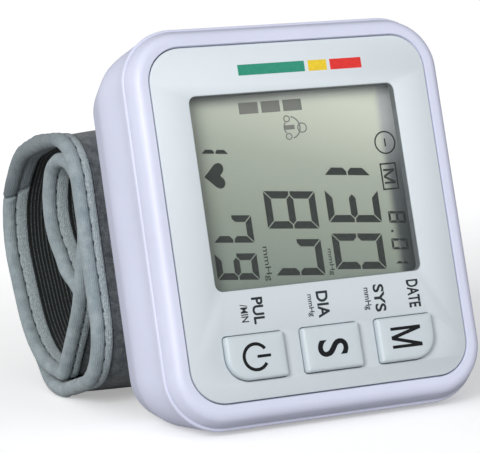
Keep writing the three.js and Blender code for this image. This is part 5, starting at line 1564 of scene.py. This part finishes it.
def former(s0, s1):
    """The springy sheet behind the bladder, with round corners, eased edges and a hole for the nipple."""
    top, foot, r = -CLOTH_GAP / 2, -CLOTH_GAP / 2 - FORMER_T, FORMER_CORNER

    def section(s):
        short = max(0.0, r - min(s - s0, s1 - s))
        edge = FORMER_X / 2 - (r - math.sqrt(max(0.0, r * r - short**2)))
        flat = np.linspace(-edge + FORMER_EDGE, edge - FORMER_EDGE, 9)
        rim = (top - FORMER_EDGE, foot + FORMER_EDGE)
        loop = [(x, top) for x in flat] + [(edge, offset) for offset in rim]
        loop += [(x, foot) for x in flat[::-1]] + [(-edge, offset) for offset in rim[::-1]]
        return [(x, offset, x) for x, offset in loop]

    turn = np.linspace(0, r, 8)
    stops = [*(s0 + turn), *np.linspace(s0 + r + 1, s1 - r - 1, 34), *(s1 - turn[::-1])]
    return carve(strip("former", path_at(stops), section), [rod(*NIPPLE_AT, NIPPLE_R + GAP, -FAR, 0)])


BLADDER_X, BLADDER_MID, FILM_T, FILLED = 54.0, -1.3, 0.1, 0.44


def bladder(s0, s1):
    """The air bladder: two films welded along a flat rim and a little filled."""
    columns = np.linspace(-BLADDER_X / 2, BLADDER_X / 2, 55)

    def half(s, x):
        inset = min(s - s0, s1 - s, BLADDER_X / 2 - abs(x))
        return FILM_T + FILLED * math.sin(math.pi / 2 * min(max((inset - 1.8) / 4.5, 0.0), 1.0))

    def section(s):
        top = [(x, BLADDER_MID + half(s, x), x) for x in columns]
        return top + [(x, BLADDER_MID - half(s, x), x) for x in columns[::-1]]

    return strip("bladder", path_at(np.linspace(s0, s1, 40)), section)


def dress_cuff():
    cloth = lay("outer_cloth", outer_cloth, CLOTH, "cloth", "cuff_outer_cloth", "strap_outer_cloth")
    inside = lay("lining", lining, LINING, "lining", "cuff_lining", "strap_lining", smooth=80)
    nodes = ("cuff_binding_near", "strap_binding_near")
    near = lay("near_binding", binding(-1), LAPPED_TAPE, "tape", *nodes, smooth=60)
    nodes = ("cuff_binding_far", "strap_binding_far")
    far = lay("far_binding", binding(1), TAPE, "tape", *nodes, smooth=60)
    rows = stitch_tree()
    sizes = {"Pitch": STITCH_PITCH, "Length": STITCH_L, "Radius": STITCH_R}
    values = {key: size / 1000 for key, size in sizes.items()} | {"Material": STITCH_HOLE_SHADE}
    # The dark stitch marks are painted shade in the holes of the stitching.
    for where, (s0, s1) in STRETCHES.items():
        mesh = rows.make("stitches", guide_mesh(seam_lines(s0, s1)), **values)
        attach(to_object(f"stitches_{where}", mesh, smooth=180), where)
    short, tail = end_tape(TIP_S, 1), end_tape(STRAP_L, -1)
    ends = {
        "base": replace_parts(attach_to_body(to_object("short_end_tape", short, TAPE), "housing"), "cuff_tip_tape"),
        "strap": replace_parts(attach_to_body(to_object("tail_tape", tail, TAPE), "strap"), "strap_tip_tape"),
    }
    hook_s = (HOOK_TAPE_END - HOOK_TAPE_L, HOOK_TAPE_END)
    base = to_object("hook_strip", hook_base(*hook_s), HOOK_NYLON)
    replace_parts(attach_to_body(base, "strap"), "hook_tape")
    hooks = hook_tree().make("hooks", hook_grid(*hook_s), Height=HOOK_H / 1000, Material=HOOK_NYLON)
    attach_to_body(to_object("hooks", hooks, smooth=180), "strap")
    pad_s = (PAD_S0 + 2 * PAD_RAMP, PAD_S1 - 2 * PAD_RAMP)
    sheet = to_object("former", former(*pad_s), GREY_PLASTIC)
    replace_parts(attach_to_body(sheet, "housing"), "cuff_former")
    pillow = to_object("bladder", bladder(*pad_s), AIR_FILM)
    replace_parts(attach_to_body(pillow, "housing"), "air_bladder")


dress_cuff()


# Camera, lights and floor


def set_stage():
    scene = bpy.context.scene
    # The camera's right, up and backward axes and its place, in the device frame
    axes = ((0.9101, -0.1432, 0.3887), (0.0898, 0.9842, 0.1523), (-0.4044, -0.1037, 0.9087))
    spot = in_row((-183.82, -44.33, 378.75))
    axes = Matrix([TURN @ Vector(axis) for axis in axes]).transposed()
    # The lens's distance and the picture's width, in pixels
    focal, across = 2197.3, 480
    camera = new_object("camera", bpy.data.cameras.new("camera"))
    camera.data.sensor_width = 36
    camera.data.lens = focal / across * 36
    camera.data.clip_start = 0.01
    camera.matrix_world = Matrix.Translation(spot) @ axes.to_4x4()
    scene.camera = camera

    def plane(name, z, albedo, glow=None):
        mesh, size = bpy.data.meshes.new(name), 20.0
        corners = [(x * size, y * size, z) for x, y in ((-1, -1), (1, -1), (1, 1), (-1, 1))]
        mesh.from_pydata(corners, [], [(0, 1, 2, 3)])
        finish = Finish(name, 0.9, Emission_Color=(1, 1, 1, 1))
        where = finish.place()
        speck = finish.noise(where, 30.0)
        if glow:
            depth = finish.node("ShaderNodeSeparateXYZ", {"Vector": where}).outputs["Y"]
            behind = finish.share(depth, 0.04, 0.4)
            finish.feed("Emission Strength", finish.between(behind, *glow))
        greys = [(at, (*[albedo + more] * 3, 1)) for at, more in ((0.3, -0.01), (0.7, 0.01))]
        finish.feed("Base Color", finish.ramp(speck, greys))
        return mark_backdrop(to_object(name, mesh, finish.material))

    # The pale floor is seen by the camera, and a greyer sheet under it gives the light that comes back up
    plane("pale_floor", 0.0, 0.9, (0.34, 0.65))
    floor = bpy.data.objects["pale_floor"]
    floor.visible_diffuse = floor.visible_glossy = floor.visible_shadow = False
    plane("bounce_sheet", -0.0005, 0.5)
    bpy.data.objects["bounce_sheet"].visible_camera = False

    world = bpy.data.worlds.new("studio")
    world.use_nodes = True
    # The light of the room is stronger from one side
    tree = world.node_tree
    way = add_node(tree, "ShaderNodeTexCoord").outputs["Generated"]
    lean = add_node(tree, "ShaderNodeVectorMath", {0: way, 1: (-0.33, -0.07, -0.21)}, operation="DOT_PRODUCT")
    glow = add_node(tree, "ShaderNodeMath", {0: lean.outputs["Value"], 1: 0.56})
    sky = tree.nodes["Background"]
    sky.inputs["Color"].default_value = (0.97, 0.98, 1.0, 1)
    tree.links.new(glow.outputs[0], sky.inputs["Strength"])
    scene.world = world

    def softbox(name, place, aim, size, power, colour=(1, 1, 1)):
        data = bpy.data.lights.new(name, "AREA")
        data.shape = "RECTANGLE"
        data.size, data.size_y = size
        data.energy = power
        data.color = colour
        lamp = new_object(name, data)
        turn = (Vector(aim) - Vector(place)).to_track_quat("-Z", "Y")
        lamp.matrix_world = Matrix.Translation(place) @ turn.to_matrix().to_4x4()

    softbox("front_box", (0.07, -0.3, 0.13), (0, -0.02, 0.04), (0.25, 0.25), 0.14)
    softbox("window_light", (-0.79, -0.76, 0.5), (0, 0, 0.04), (0.5, 0.5), 8.0)
    scene.view_settings.view_transform = "Standard"


set_stage()
